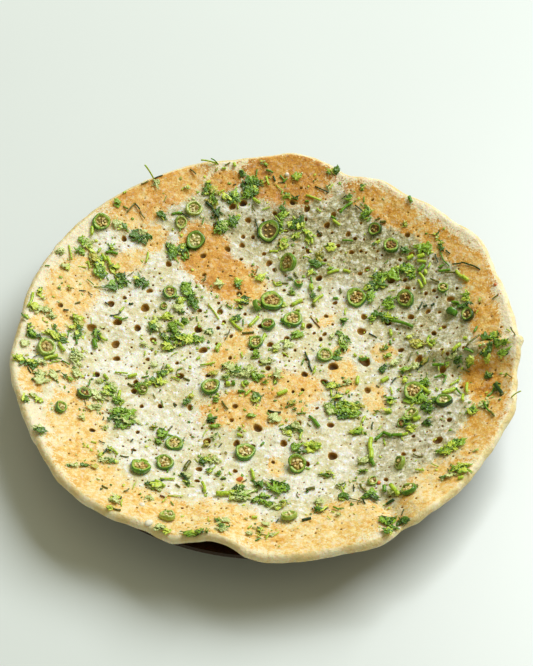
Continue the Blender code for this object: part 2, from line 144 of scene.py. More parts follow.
# Browned patches, in pixels: middle, half length, half width, clockwise turn, strength.
PATCHES = (
    (158, 190, 52, 19, -20, 1.05),
    (224, 181, 17, 11, -15, 1.0),
    (138, 214, 30, 13, -18, 0.8),
    (154, 238, 13, 14, 0, 0.8),
    (127, 262, 22, 11, -18, 0.8),
    (204, 252, 29, 24, 60, 1.1),
    (234, 281, 33, 20, 28, 1.1),
    (72, 291, 40, 25, -62, 0.9),
    (42, 322, 12, 9, 0, 0.8),
    (34, 377, 16, 14, 0, 0.8),
    (60, 372, 20, 10, 10, 0.7),
    (76, 420, 36, 28, 60, 0.74),
    (96, 478, 62, 24, 45, 0.76),
    (160, 514, 50, 19, 22, 0.9),
    (222, 520, 44, 18, 12, 0.8),
    (300, 540, 60, 17, 2, 0.88),
    (345, 521, 48, 20, -8, 0.82),
    (432, 490, 46, 22, -40, 0.75),
    (478, 432, 34, 17, -58, 0.85),
    (490, 398, 26, 18, -75, 0.9),
    # Painted shade: the gold is deepened in the hollow under the right flap's fold, over partly real
    # browning.
    (488, 376, 26, 20, -30, 1.1),
    (484, 316, 40, 16, 74, 0.9),
    (474, 270, 26, 15, 60, 0.85),
    (440, 240, 36, 14, 33, 0.8),
    (388, 208, 46, 15, 30, 0.85),
    (286, 178, 44, 26, 4, 1.05),
    (230, 351, 30, 12, -42, 1.0),
    (255, 408, 52, 19, -5, 0.9),
    (285, 390, 38, 18, 0, 0.88),
    (344, 376, 14, 17, 0, 0.8),
    (375, 398, 11, 14, 0, 0.9),
    (384, 353, 12, 9, 0, 0.9),
    (338, 352, 12, 6, -20, 0.7),
    (325, 322, 12, 6, -30, 0.6),
    (276, 467, 8, 9, 0, 0.8),
    (240, 481, 5, 6, 0, 0.8),
)
# Where the gold is fried deeper, in pixels, written as PATCHES is.
FRIED_ZONES = (
    (290, 178, 90, 36, 0, 1.15),
    (155, 190, 60, 26, -20, 0.65),
    (215, 262, 50, 40, 50, 0.95),
    (255, 400, 90, 50, 0, 0.25),
    (420, 230, 80, 36, 30, 0.6),
    (478, 310, 40, 70, 0, 0.6),
    # Painted shade in the hollow under the right flap's fold, over partly real browning.
    (482, 380, 22, 20, 0, 1.2),
    (488, 410, 26, 40, 0, 0.55),
)
# Darker, greyer batter, in pixels, written as PATCHES is: painted shade at the back and right,
# where the wall faces away from the light, and partly damp batter.
DAMP_AND_SHADE_ZONES = (
    (355, 238, 125, 50, 12, 1.0),
    (440, 322, 56, 66, 20, 0.8),
    (420, 440, 66, 34, -30, 0.7),
    (196, 212, 60, 20, 0, 0.5),
)
# Where a zone fades out and where it is full, in shares of its half sizes.
ZONE_FADE = (1.45, 0.55)

# Pits, in pixels: middle and half width.
PITS = (
    (124, 238.5, 3), (168.5, 264, 3.2), (203, 255.5, 3), (227.5, 249, 3.2), (232.5, 206.5, 3.6),
    (243, 203, 3.8), (225.5, 223, 2.4), (215, 225, 2.4), (183, 223.5, 1.5), (248, 220, 3.1),
    (263, 220, 1.8), (243, 236.5, 2.4), (253, 237, 2.3), (242, 245, 3), (241, 259, 1.9), (264, 253.5, 2.2),
    (269, 263, 3.4), (274.5, 269.5, 2.5), (275, 213, 2.6), (287, 214, 2), (292.5, 202, 3), (301, 188, 1.5),
    (307, 208, 3.4), (306, 219, 1.9), (327, 225, 3.3), (333.5, 214.5, 3), (340, 210, 2.6),
    (319.5, 235, 2.9), (332, 233, 1.5), (330, 241, 1.2), (303, 247.5, 1.6), (308, 251, 2.7),
    (327, 247, 2.6), (338, 245.5, 2.4), (293.5, 253, 1.4), (348, 234, 2.8), (355, 238.5, 2.1),
    (361, 223, 1.6), (351.5, 252, 2.7), (361, 251, 1.8), (366, 252.5, 1.6), (364, 239, 1.4),
    (325, 260, 1.9), (286, 231, 2.3), (374, 248, 1.3), (372.5, 199.5, 1.6), (367, 269.5, 2.9),
    (407.5, 234.5, 2.9), (418, 236, 1.4), (378, 240, 2.2), (411.5, 254.5, 3.2), (400, 259.5, 2),
    (380.5, 273, 3), (391.5, 280, 3.8), (360, 273.5, 2.5), (405, 280, 2.3), (407.5, 288, 2.5),
    (377.5, 251, 1.5), (382, 255, 1.4), (433, 259, 1.4), (457, 288, 1.7), (397.5, 265, 1.1),
    (390, 265, 1.1), (414, 288, 1.5), (426, 293, 2.2), (434, 290.5, 2.2), (450.5, 299, 3.7),
    (437, 297, 1.4), (439.5, 312, 1.8), (428, 311, 2.7), (411, 316.5, 3.2), (444, 326.5, 2.4),
    (434, 333, 2.8), (421.5, 325.5, 1.5), (457, 327.5, 1.1), (442, 349, 1.9), (447.5, 353.5, 1.7),
    (463.5, 347, 1.6), (419, 359, 4.1), (443, 369, 3.5), (461.5, 387, 1.8), (401, 350, 2.9),
    (479.5, 303.5, 1.3), (501, 327, 1.2), (452.5, 375.5, 1.4), (431, 349, 1.2), (60.5, 305, 2.6),
    (91.5, 327, 4.6), (111, 303.5, 3.6), (145, 307.5, 4.6), (117.5, 322, 4.2), (103.5, 328, 1.4),
    (137.5, 328, 3.8), (115.5, 344, 4.4), (153, 340, 3.3), (116.5, 358.5, 3.5), (124.5, 297.5, 2.2),
    (149.5, 290.5, 3), (153, 285, 1.2), (131.5, 347, 1.2), (91.5, 353.5, 1.4), (159.5, 273.5, 1.3),
    (95.5, 360, 1.1), (204, 274.5, 2.3), (239, 293.5, 3.1), (245, 292.5, 1.1), (199.5, 310.5, 2.5),
    (220, 311.5, 3.4), (218.5, 303, 1.8), (224, 322, 2.2), (218, 328, 2.2), (198, 329, 4.2),
    (231, 336, 2.1), (284, 290.5, 1.8), (203, 350, 4.2), (217, 344, 2.2), (177, 363, 2), (270, 344.5, 3.2),
    (261, 326, 3.2), (260, 361, 2.2), (270, 361, 2.3), (268, 368, 2.9), (285, 355, 2.4), (286.5, 339, 3.3),
    (266, 320, 1.4), (245, 314, 2), (230, 358, 2.3), (147.5, 359, 2.3), (196, 287, 1.1), (252, 349, 2.3),
    (295, 350, 1.8), (289, 361, 1.2), (208, 342.5, 1.1), (190, 353, 1.2), (319, 278, 3.3),
    (353.5, 290.5, 1.9), (335, 303, 2.5), (326, 316, 2.4), (309, 326, 3.3), (314, 333, 1.9),
    (324.5, 334, 2.4), (320.5, 339, 2.4), (361.5, 331, 4.6), (364, 316.5, 3.3), (388, 323, 3.2),
    (365, 361, 5.8), (333, 366.5, 4.8), (332.5, 324, 1.5), (306.5, 359, 1.9), (309, 366, 1.2),
    (365, 341, 1), (400, 333, 1.3), (397, 329, 1.3), (304.5, 374, 3.3), (295, 371, 1.2), (416, 343, 1.2),
    (96.5, 374, 3.3), (136, 382, 2.9), (134, 391, 3.2), (141.5, 406, 2.3), (92, 430, 2.8),
    (137.5, 432, 2.1), (133.5, 450, 2.3), (112, 387, 1.2), (149, 368, 1.3), (144, 363, 1.2),
    (121.5, 402, 1.9), (116.5, 400, 1.2), (123, 446, 1.2), (208, 375, 2.6), (180, 376, 3.8),
    (160, 406, 2.6), (190, 407, 3.1), (235, 406, 2.9), (231.5, 420, 2.3), (257.5, 428, 4.4),
    (283.5, 443, 3.8), (236.5, 443, 3.6), (253, 446, 2.3), (207, 441, 3.8), (202, 428, 1.4),
    (190.5, 435, 1.1), (235, 471, 2.6), (199, 469, 3.3), (273, 462, 2.1), (187.5, 384, 0.9),
    (293, 391.5, 1.9), (288, 381.5, 1.2), (175, 405, 1.8), (324, 381.5, 3.4), (302.5, 389.5, 2.1),
    (367.5, 390, 3.6), (298, 423, 3.3), (330.5, 425, 3.3), (332.5, 456, 4.8), (307, 463.5, 3.1),
    (403.5, 454, 2.5), (362.5, 425, 1.2), (317, 408, 1.9), (401, 376, 1.5), (414, 450, 2.2),
    (308, 439, 1.2), (370, 479, 2.8), (386, 479.5, 2.4), (413.5, 436, 2.1), (438, 440, 4.6),
    (449.5, 419.5, 2.7), (442.5, 426, 1.3), (420, 441, 1.1), (425, 440, 0.9), (472, 391, 1.2),
    (197, 481, 2.4), (139.5, 494, 1.5), (182, 508, 1.5), (354, 488, 1.2), (390, 496, 1.5),
)
# Cut stems, in pixels: from, to, width, then the tone: 0 dark, 1 olive, 2 green, 3 yellow-green, 4 brown.
STEMS = (
    (151.5, 174, 160, 170, 1.2, 0), (140, 183, 146, 177, 1.3, 1), (121, 190, 123, 187, 2, 3),
    (204, 218, 202, 226, 1.2, 2), (172, 215, 182, 214, 2.6, 2), (182, 214, 190, 219, 1.4, 0),
    (148, 253, 146, 264, 1.8, 3), (92, 228, 92, 237, 3, 3), (102, 255, 106, 262, 3, 3),
    (107, 258, 111, 268, 3, 3), (106, 253, 118, 256, 2.6, 2), (127, 214, 135, 204, 1.5, 1),
    (135, 204, 140, 211, 1.5, 0), (140, 211, 145, 220, 1.3, 1), (206, 203, 212, 209, 3, 0),
    (212, 209, 219, 220, 2.6, 0), (218, 200, 215, 206, 1.3, 1), (190, 170, 196, 176, 1.5, 1),
    (225, 166, 230, 163, 1.4, 1), (222, 169, 226, 169, 1.8, 3), (234, 164, 235, 168, 3, 3),
    (184, 248, 189, 259, 1.4, 2), (253, 200, 260, 205, 3.2, 3), (269, 252, 278, 252, 2.2, 3),
    (306, 196, 321, 202, 2, 3), (315, 187, 329, 194, 1.3, 0), (317, 209, 321, 213, 1.7, 3),
    (305, 202, 309, 202, 1.8, 2), (333, 221, 340, 227, 2.8, 3), (331, 217, 336, 220, 2.2, 2),
    (340, 216, 352, 204, 2.5, 2), (355, 206, 362, 212, 1.3, 0), (342, 242, 353, 242, 1.9, 2),
    (280, 176, 284, 181, 1.8, 2), (283, 183, 287, 179, 1.6, 2), (266, 171, 273, 174, 2, 2),
    (267, 179, 269, 187, 2, 3), (273, 177, 275, 183, 2, 0), (275, 217, 280, 224, 1.6, 3),
    (257, 170, 256, 178, 1.5, 2), (255, 220, 258, 241, 1.3, 0), (293, 217, 295, 220, 2, 3),
    (312, 245, 312, 240, 2.4, 3), (409, 198, 411, 204, 3.6, 2), (380, 223, 386, 222, 2.6, 1),
    (407, 261, 413, 257, 3.8, 3), (417, 259, 424, 256, 3.8, 3), (417, 263, 426, 263, 2.8, 3),
    (428, 269, 430, 264, 2, 3), (418, 273, 424, 266, 3.6, 2), (419, 274, 425, 286, 2.7, 3),
    (418, 281, 422, 289, 2.8, 3), (425, 271, 426, 275, 3, 3), (430, 280, 439, 283, 1.8, 1),
    (438, 273, 450, 270, 2.3, 2), (445, 274, 456, 273, 1.8, 1), (438, 269, 443, 265, 1.8, 2),
    (452, 266, 461, 264, 1.5, 0), (461, 264, 470, 266, 1.5, 0), (470, 266, 480, 270, 1.5, 0),
    (456, 272, 462, 278, 3, 3), (462, 278, 468, 282, 3.6, 3), (440, 253, 443, 261, 1.3, 2),
    (443, 261, 449, 267, 1.3, 2), (435, 255, 438, 264, 1.2, 0), (451, 304, 459, 304, 2.5, 2),
    (422, 303, 418, 311, 1.4, 0), (423, 308, 427, 306, 2.2, 0), (431, 307, 434, 304, 2.2, 0),
    (392, 323, 413, 328, 3, 2), (383, 318, 398, 319, 1.8, 3), (387, 317, 391, 316, 2.4, 3),
    (428, 339, 432, 347, 2.4, 3), (452, 353, 460, 346, 3.4, 3), (453, 354, 458, 350, 1.4, 0),
    (463, 339, 467, 339, 2.6, 3), (467, 346, 479, 338, 1.8, 1), (464, 350, 473, 354, 2.2, 2),
    (474, 333, 477, 327, 2, 2), (492, 301, 498, 295, 1.4, 1), (432, 367, 444, 365, 2.6, 2),
    (434, 379, 442, 375, 1.8, 2), (442, 375, 446, 377, 2, 2), (446, 377, 443, 384, 1.6, 2),
    (450, 386, 458, 381, 2, 3), (467, 385, 467, 394, 2.8, 3), (457, 369, 460, 365, 1.5, 0),
    (461, 370, 463, 366, 1.6, 3), (506, 330, 510, 332, 1.2, 3), (510, 332, 515, 336, 1.3, 1),
    (506, 376, 512, 378, 0.9, 1), (412, 353, 408, 362, 1.5, 1), (69, 246, 72, 262, 1.7, 3),
    (33, 294, 28, 307, 2.6, 3), (30, 307, 40, 308, 2, 2), (70, 317, 78, 321, 1.5, 1),
    (79, 291, 86, 292, 1, 0), (87, 280, 94, 287, 1, 2), (94, 287, 108, 289, 1, 2),
    (45, 266, 50, 267, 1.2, 2), (96, 330, 95, 340, 1.6, 2), (100, 337, 106, 342, 2.6, 3),
    (94, 341, 96, 350, 4.2, 2), (59, 344, 65, 353, 3, 3), (76, 335, 77, 345, 2, 2),
    (110, 316, 121, 314, 1.3, 0), (114, 317, 122, 319, 2, 3), (119, 321, 128, 319, 1.6, 2),
    (120, 312, 124, 308, 2, 3), (105, 303, 109, 306, 1.4, 0), (129, 304, 133, 304, 2, 0),
    (140, 337, 143, 340, 1.2, 3), (88, 262, 90, 270, 1.6, 3), (98, 253, 101, 249, 2, 3),
    (44, 360, 58, 358, 2.8, 3), (50, 360, 62, 361, 1.4, 2), (62, 361, 70, 366, 1.4, 2),
    (115, 373, 128, 375, 1.6, 3), (128, 378, 137, 376, 3, 3), (142, 378, 149, 377, 1.4, 2),
    (128, 384, 135, 387, 2, 1), (104, 375, 108, 380, 2.6, 3), (118, 400, 120, 392, 3, 3),
    (101, 380, 103, 383, 2, 3), (208, 304, 214, 312, 1.3, 3), (214, 312, 219, 320, 1.4, 3),
    (258, 318, 249, 327, 3.2, 3), (230, 320, 242, 331, 2.6, 3), (243, 320, 243, 326, 1.3, 2),
    (230, 330, 225, 340, 1.1, 1), (242, 334, 254, 333, 2, 1), (215, 363, 200, 366, 1.7, 3),
    (200, 358, 197, 360, 2.4, 3), (220, 345, 216, 351, 3.6, 3), (273, 282, 276, 286, 1.6, 3),
    (276, 286, 282, 285, 1.6, 3), (265, 335, 262, 342, 3, 3), (242, 353, 243, 358, 1.8, 3),
    (249, 338, 255, 338, 1.6, 3), (281, 321, 290, 328, 3.6, 2), (292, 306, 302, 301, 3.4, 3),
    (296, 311, 300, 311, 2.2, 3), (327, 275, 339, 271, 2.7, 3), (343, 271, 350, 273, 2.7, 3),
    (323, 296, 313, 304, 2.4, 3), (312, 305, 315, 307, 3, 1), (340, 289, 341, 294, 1.8, 1),
    (311, 278, 312, 284, 1.8, 2), (319, 288, 321, 290, 3.4, 3), (311, 286, 312, 291, 4.4, 3),
    (303, 325, 303, 329, 3.4, 3), (311, 318, 315, 323, 1.3, 4), (315, 323, 320, 328, 1.3, 4),
    (369, 334, 377, 338, 1.2, 0), (390, 331, 391, 337, 2.8, 3), (390, 341, 391, 345, 1.8, 2),
    (305, 353, 309, 362, 1.6, 0), (309, 362, 312, 372, 1.6, 0), (315, 367, 313, 374, 2, 3),
    (304, 360, 302, 365, 1.6, 2), (346, 309, 345, 315, 1.5, 3), (333, 299, 338, 299, 2.6, 2),
    (369, 299, 369, 304, 2.8, 3), (354, 355, 356, 357, 2.6, 3), (363, 357, 368, 359, 1.6, 3),
    (171, 378, 180, 381, 1.5, 3), (183, 378, 190, 381, 1.8, 1), (277, 396, 287, 392, 3.6, 3),
    (245, 396, 250, 391, 2.4, 3), (238, 392, 244, 392, 2.6, 2), (242, 383, 245, 388, 2, 3),
    (226, 385, 230, 385, 4.4, 3), (232, 384, 235, 384, 4.4, 2), (222, 402, 228, 410, 1.7, 1),
    (253, 406, 264, 395, 1.2, 1), (268, 411, 281, 413, 1.8, 0), (237, 435, 242, 437, 2.6, 3),
    (261, 446, 264, 443, 2, 2), (219, 447, 222, 444, 1.1, 0), (253, 478, 251, 470, 2, 3),
    (309, 417, 314, 421, 2.4, 2), (314, 421, 319, 428, 3.6, 2), (371, 440, 371, 452, 4, 3),
    (371, 452, 371, 460, 4.4, 3), (371, 460, 374, 466, 3.6, 2), (375, 441, 383, 434, 3, 2),
    (383, 434, 392, 437, 3, 2), (392, 437, 402, 436, 3, 2), (402, 436, 408, 434, 2.4, 3),
    (381, 383, 388, 379, 3.8, 3), (358, 378, 357, 385, 3.2, 3), (346, 394, 349, 391, 2.4, 3),
    (331, 390, 332, 397, 1.4, 3), (362, 423, 365, 417, 2.4, 3), (378, 430, 381, 426, 1.3, 3),
    (300, 440, 302, 433, 2, 3), (310, 446, 312, 446, 2.6, 3), (313, 441, 316, 443, 1, 0),
    (316, 443, 315, 448, 1, 0), (413, 455, 423, 457, 1.2, 1), (415, 471, 424, 471, 1.8, 3),
    (390, 388, 392, 395, 1.5, 3), (409, 417, 413, 414, 3.4, 3), (413, 421, 420, 418, 3.6, 3),
    (420, 388, 430, 394, 3.8, 3), (299, 396, 303, 392, 1.3, 3), (302, 412, 303, 408, 1.4, 3),
    (297, 415, 306, 414, 1.5, 2), (442, 394, 455, 390, 3.6, 3), (456, 390, 461, 395, 2, 2),
    (463, 397, 463, 402, 2.8, 3), (436, 389, 438, 391, 2.2, 3), (487, 397, 494, 389, 1.8, 2),
    (494, 388, 502, 395, 3.6, 0), (484, 404, 490, 413, 1.8, 2), (490, 413, 494, 417, 2, 1),
    (450, 444, 453, 441, 1.5, 3), (458, 479, 465, 478, 3, 3), (403, 489, 418, 487, 2.8, 1),
    (113, 450, 118, 455, 1.8, 3), (120, 456, 129, 458, 1.3, 1), (141, 460, 148, 463, 1.8, 3),
    (99, 441, 105, 444, 1.2, 1), (131, 442, 133, 440, 1.5, 0), (155, 481, 165, 487, 2.8, 3),
    (176, 485, 180, 488, 1.6, 1), (168, 496, 183, 497, 1.1, 3), (202, 484, 205, 493, 2.6, 3),
    (185, 470, 190, 463, 3.8, 1), (181, 475, 188, 485, 2.6, 0), (160, 479, 175, 480, 1.8, 3),
    (110, 506, 121, 511, 1.8, 1), (102, 486, 108, 489, 1.6, 1), (216, 495, 229, 495, 4.2, 3),
    (252, 472, 254, 480, 2.6, 3), (252, 518, 257, 518, 2.6, 3), (302, 521, 311, 519, 2.6, 0),
    (306, 491, 315, 489, 2.6, 1), (390, 487, 399, 496, 4, 3), (384, 487, 384, 493, 3.6, 2),
    (360, 486, 366, 492, 2, 1), (350, 500, 362, 502, 1, 1), (394, 500, 386, 506, 2.6, 0),
    (160, 496, 165, 498, 1.6, 4),
)
# Bits of leaf that aren't solids of their own, in pixels: middle, width, height, then the tone:
# 0 dark, 1 green, 2 yellow-green, 3 paled by batter, 4 olive.
SCRAPS = (
    (156, 184, 5, 9, 3), (187, 188, 7, 5, 3), (118, 205, 5, 6, 1), (160, 217, 12, 7, 2),
    (209, 187, 6, 9, 1), (206, 193, 5, 7, 4), (214, 192, 7, 8, 4), (182, 250, 12, 14, 0),
    (234, 222, 9, 10, 1), (120, 226, 14, 7, 3), (112, 250, 5, 6, 1), (185, 258, 6, 5, 1),
    (217, 214, 8, 10, 0), (297, 178, 10, 7, 1), (287, 197, 9, 5, 1), (295, 199, 7, 3, 1),
    (242, 174, 5, 7, 1), (236, 196, 8, 14, 1), (230, 199, 12, 8, 0), (257, 190, 6, 18, 0),
    (262, 184, 6, 6, 4), (283, 215, 7, 10, 1), (281, 226, 4, 14, 1), (297, 225, 20, 9, 0),
    (296, 237, 10, 8, 1), (367, 216, 10, 16, 1), (348, 199, 5, 6, 1), (330, 248, 8, 8, 3),
    (335, 172, 7, 5, 2), (329, 173, 4, 5, 2), (265, 166, 4, 3, 1), (328, 188, 5, 3, 3), (363, 189, 4, 6, 1),
    (262, 163, 4, 3, 3), (283, 244, 9, 10, 4), (319, 256, 6, 10, 4), (316, 265, 14, 7, 0),
    (331, 269, 5, 4, 1), (311, 273, 8, 6, 1), (309, 238, 8, 8, 2), (304, 232, 6, 4, 2),
    (395, 275, 16, 12, 1), (407, 271, 14, 12, 1), (375, 277, 8, 6, 2), (386, 277, 5, 5, 1),
    (404, 252, 8, 6, 4), (405, 224, 4, 5, 4), (378, 243, 4, 3, 1), (437, 238, 4, 6, 3),
    (441, 248, 5, 10, 1), (370, 288, 10, 9, 0), (382, 286, 8, 8, 2), (389, 304, 14, 12, 1),
    (371, 300, 7, 14, 1), (372, 318, 5, 6, 1), (412, 277, 8, 5, 1), (465, 298, 9, 8, 1),
    (465, 306, 12, 5, 0), (486, 352, 12, 8, 0), (497, 345, 8, 8, 1), (503, 353, 12, 5, 1),
    (506, 344, 6, 5, 1), (488, 360, 6, 4, 2), (488, 376, 5, 6, 1), (506, 376, 3, 4, 1), (496, 389, 7, 6, 1),
    (433, 343, 4, 6, 1), (416, 345, 14, 9, 4), (408, 338, 5, 4, 4), (457, 361, 10, 5, 0),
    (470, 362, 5, 8, 1), (453, 357, 6, 5, 3), (423, 384, 12, 7, 1), (447, 365, 2, 5, 2),
    (404, 380, 6, 5, 2), (435, 402, 6, 5, 0), (471, 411, 12, 8, 1), (480, 407, 10, 4, 3),
    (487, 404, 6, 5, 3), (476, 451, 5, 2, 3), (60, 252, 12, 5, 3), (65, 268, 9, 5, 3), (81, 252, 8, 5, 1),
    (40, 292, 4, 9, 2), (44, 299, 4, 3, 3), (60, 288, 3, 3, 3), (69.5, 289, 4, 4, 4), (25, 317, 6, 8, 1),
    (30, 330, 5, 14, 0), (34, 336, 14, 4, 0), (40, 310, 28, 8, 3), (48, 334, 12, 4, 4), (56, 328, 4, 6, 3),
    (60, 338, 14, 8, 0), (78, 333, 6, 12, 0), (73, 328, 7, 5, 4), (78, 322, 12, 12, 4), (25, 345, 8, 8, 3),
    (78, 356, 10, 10, 3), (96, 258, 14, 12, 4), (100, 272, 12, 16, 1), (112, 287, 8, 8, 0),
    (115, 271, 11, 9, 0), (141, 283, 16, 9, 0), (147, 285, 5, 4, 1), (137, 280, 5, 4, 1),
    (118, 267, 5, 4, 4), (144, 345, 8, 5, 3), (155, 327, 11, 9, 3), (97, 334, 6, 6, 1), (52, 318, 10, 4, 3),
    (20, 359, 9, 7, 2), (30, 364, 20, 8, 0), (43, 364, 8, 5, 3), (41, 378, 18, 12, 3), (53, 376, 8, 10, 3),
    (25, 399, 9, 6, 1), (33, 396, 8, 5, 3), (39, 401, 7, 5, 2), (38, 430, 15, 9, 3), (82, 419, 6, 4, 3),
    (76, 360, 10, 12, 3), (76, 369, 3, 4, 0), (65, 377, 4, 4, 3), (70, 380, 4, 5, 4), (77, 375, 10, 5, 3),
    (100, 382, 6, 4, 3), (92, 393, 12, 6, 3), (93, 408, 14, 7, 3), (99, 400, 10, 5, 3),
    (118, 402, 15, 5, 1), (106, 428, 6, 4, 3), (120, 427, 12, 4, 1), (141, 388, 9, 9, 1),
    (110, 451, 6, 4, 0), (101, 456, 5, 5, 2), (106, 461, 22, 5, 3), (72, 466, 11, 3, 3), (86, 466, 8, 3, 0),
    (95, 467, 5, 4, 4), (116, 499, 8, 11, 3), (105, 512, 4, 4, 2), (165, 318, 14, 8, 2),
    (156, 320, 5, 8, 3), (175, 328, 14, 13, 1), (184, 322, 6, 7, 1), (154, 330, 8, 8, 3),
    (165, 338, 10, 6, 1), (198, 341, 12, 6, 1), (168, 347, 10, 9, 0), (180, 345, 14, 4, 4),
    (176, 297, 5, 6, 1), (197, 299, 5, 3, 4), (220, 284, 8, 8, 3), (238, 284, 6, 10, 1),
    (242, 302, 13, 8, 0), (240, 308, 5, 4, 0), (236, 320, 8, 7, 1), (261, 279, 8, 7, 2),
    (255, 355, 8, 8, 1), (265, 363, 12, 5, 3), (154, 366, 5, 4, 3), (167, 367, 5, 4, 2),
    (172, 371, 5, 4, 2), (162, 374, 12, 5, 1), (210, 333, 7, 6, 3), (287, 345, 10, 9, 3),
    (276, 350, 8, 11, 3), (178, 309, 9, 8, 3), (182, 313, 10, 4, 0), (180, 302, 8, 8, 1),
    (185, 289, 10, 11, 1), (291, 280, 6, 3, 0), (282, 305, 7, 9, 2), (292, 294, 4, 9, 1),
    (277, 374, 7, 13, 3), (250, 345, 5, 5, 4), (214, 374, 8, 5, 4), (227, 367, 9, 7, 3),
    (235, 371, 8, 6, 1), (225, 378, 12, 4, 3), (250, 372, 13, 9, 3), (258, 377, 10, 9, 1),
    (265, 383, 5, 4, 1), (246, 384, 8, 4, 1), (216, 399, 5, 7, 1), (211, 420, 7, 8, 1),
    (216, 427, 10, 4, 1), (251, 416, 8, 6, 1), (190, 397, 6, 4, 4), (187, 403, 6, 6, 2),
    (163, 434, 11, 10, 1), (158, 442, 7, 5, 1), (154, 428, 6, 4, 4), (183, 443, 3, 4, 4),
    (213, 438, 6, 3, 3), (206, 445, 6, 4, 4), (208, 461, 16, 6, 3), (216, 460, 7, 6, 3),
    (202, 462, 5, 5, 0), (210, 472, 7, 4, 1), (217, 474, 8, 5, 0), (223, 479, 6, 3, 0),
    (187, 476, 11, 5, 3), (240, 430, 4, 4, 4), (256, 399, 9, 10, 3), (274, 420, 14, 8, 3),
    (313, 296, 4, 9, 0), (345, 322, 10, 5, 1), (298, 336, 13, 9, 1), (332, 337, 4, 5, 3),
    (337, 355, 8, 10, 1), (385, 349, 8, 6, 1), (387, 357, 7, 4, 4), (383, 369, 9, 9, 0),
    (392, 364, 11, 6, 3), (412, 368, 14, 7, 3), (424, 363, 7, 7, 4), (404, 371, 8, 5, 1),
    (293, 404, 6, 5, 4), (295, 410, 5, 2, 4), (332, 387, 17, 7, 1), (347, 383, 7, 8, 3),
    (338, 398, 11, 6, 0), (329, 409, 6, 13, 3), (358, 407, 12, 7, 4), (391, 403, 7, 12, 1),
    (387, 412, 10, 5, 1), (376, 412, 3, 4, 2), (357, 432, 13, 9, 1), (296, 447, 9, 7, 1),
    (301, 453, 10, 3, 0), (293, 431, 17, 12, 3), (364, 462, 11, 7, 3), (362, 472, 10, 4, 1),
    (405, 423, 11, 9, 0), (411, 428, 9, 9, 1), (428, 425, 8, 9, 0), (418, 401, 22, 9, 1),
    (428, 407, 12, 13, 1), (325, 475, 13, 5, 4), (153, 487, 13, 7, 3), (150, 484, 8, 4, 0),
    (150, 499, 10, 4, 3), (157, 532, 9, 7, 3), (165, 535, 7, 9, 2), (195, 533, 20, 8, 1),
    (203, 540, 5, 5, 4), (188, 484, 5, 6, 1), (237, 489, 15, 7, 3), (240, 500, 18, 4, 3),
    (258, 486, 8, 8, 0), (262, 497, 13, 4, 1), (258, 502, 13, 4, 1), (268, 506, 10, 7, 0),
    (277, 506, 11, 9, 3), (284, 503, 5, 11, 4), (320, 503, 12, 6, 3), (320, 510, 15, 5, 0),
    (222, 528, 11, 12, 3), (222, 521, 13, 5, 3), (260, 532, 5, 14, 4), (265, 525, 7, 4, 3),
    (250, 534, 5, 7, 3), (272, 536, 5, 4, 3), (344, 497, 11, 7, 0), (372, 497, 15, 11, 1),
    (340, 486, 6, 4, 3), (394, 493, 9, 6, 3), (338, 515, 4, 4, 3), (462, 469, 20, 13, 1),
    (446, 477, 11, 6, 3), (453, 475, 6, 3, 3), (404, 523, 11, 9, 0), (393, 528, 11, 7, 1),
    (393, 536, 11, 7, 2),
)
# Sprigs that stand over the rim, in pixels: foot, tip, width, then the tone as in STEMS.
SPRIGS = (
    (151, 173, 145, 165, 1.8, 3),
    (218, 164, 201, 160, 1.8, 3),
    (218, 164, 211, 158.5, 1.3, 2),
    (514, 397, 521, 391, 1.3, 3),
)
# Small slices of chilli that aren't solids of their own, in pixels: middle, diameter, then the lean in
# degrees and the tones of skin and filling.
CHILLI_BITS = (
    (255, 308, 12, 60, 0.6, 0.5),
    (442.8, 288.7, 11, 15, 0.5, 0.3),
    (450.4, 315.7, 12, 70, 0.4, 0.2),
    (142.7, 389.2, 11, 50, 0.6, 0.2),
    (371.4, 481.9, 10, 20, 0.7, 0.4),
    (401.9, 423.6, 9, 30, 0.1, 0.9),
    (298, 285.6, 9.5, 25, 0.5, 0.6),
    (163.6, 306.5, 8, 25, 0.6, 0.3),
    (309, 237, 8, 40, 0.6, 0.3),
    (211, 458.8, 8, 20, 1.0, 0.1),
    (363, 360, 8, 30, 0.4, 0.6),
)
# Other small bits, in pixels: middle, width, height, then red or white.
ODD_BITS = (
    (239, 480, 5, 9, "red"),
    (335, 398, 6, 4, "red"),
    (405, 223, 4, 4, "red"),
    (379, 483, 4, 4, "red"),
    (495, 285, 4, 3, "red"),
    (287, 175, 5, 5, "white"),
    # A painted highlight: a near white lump where the pancake shows a glint.
    (147, 525, 9, 7, "white"),
    (142, 505, 6, 5, "white"),
    (409, 415, 4, 6, "white"),
)
# The tones of the leaf solids, in the order of their names: the main one and the other, as in SCRAPS.
LEAF_NODE_TONES = (
    *((0, 1), (3, 1), (3, 0), (0, 1), (1, 4), (1, 3), (1, 0), (1, 2)),
    *((1, 2), (1, 0), (0, 1), (3, 1), (1, 0), (1, 2), (3, 1), (1, 3)),
    *((2, 1), (3, 1), (3, 1), (1, 0), (2, 1), (1, 2), (1, 2), (0, 1)),
)
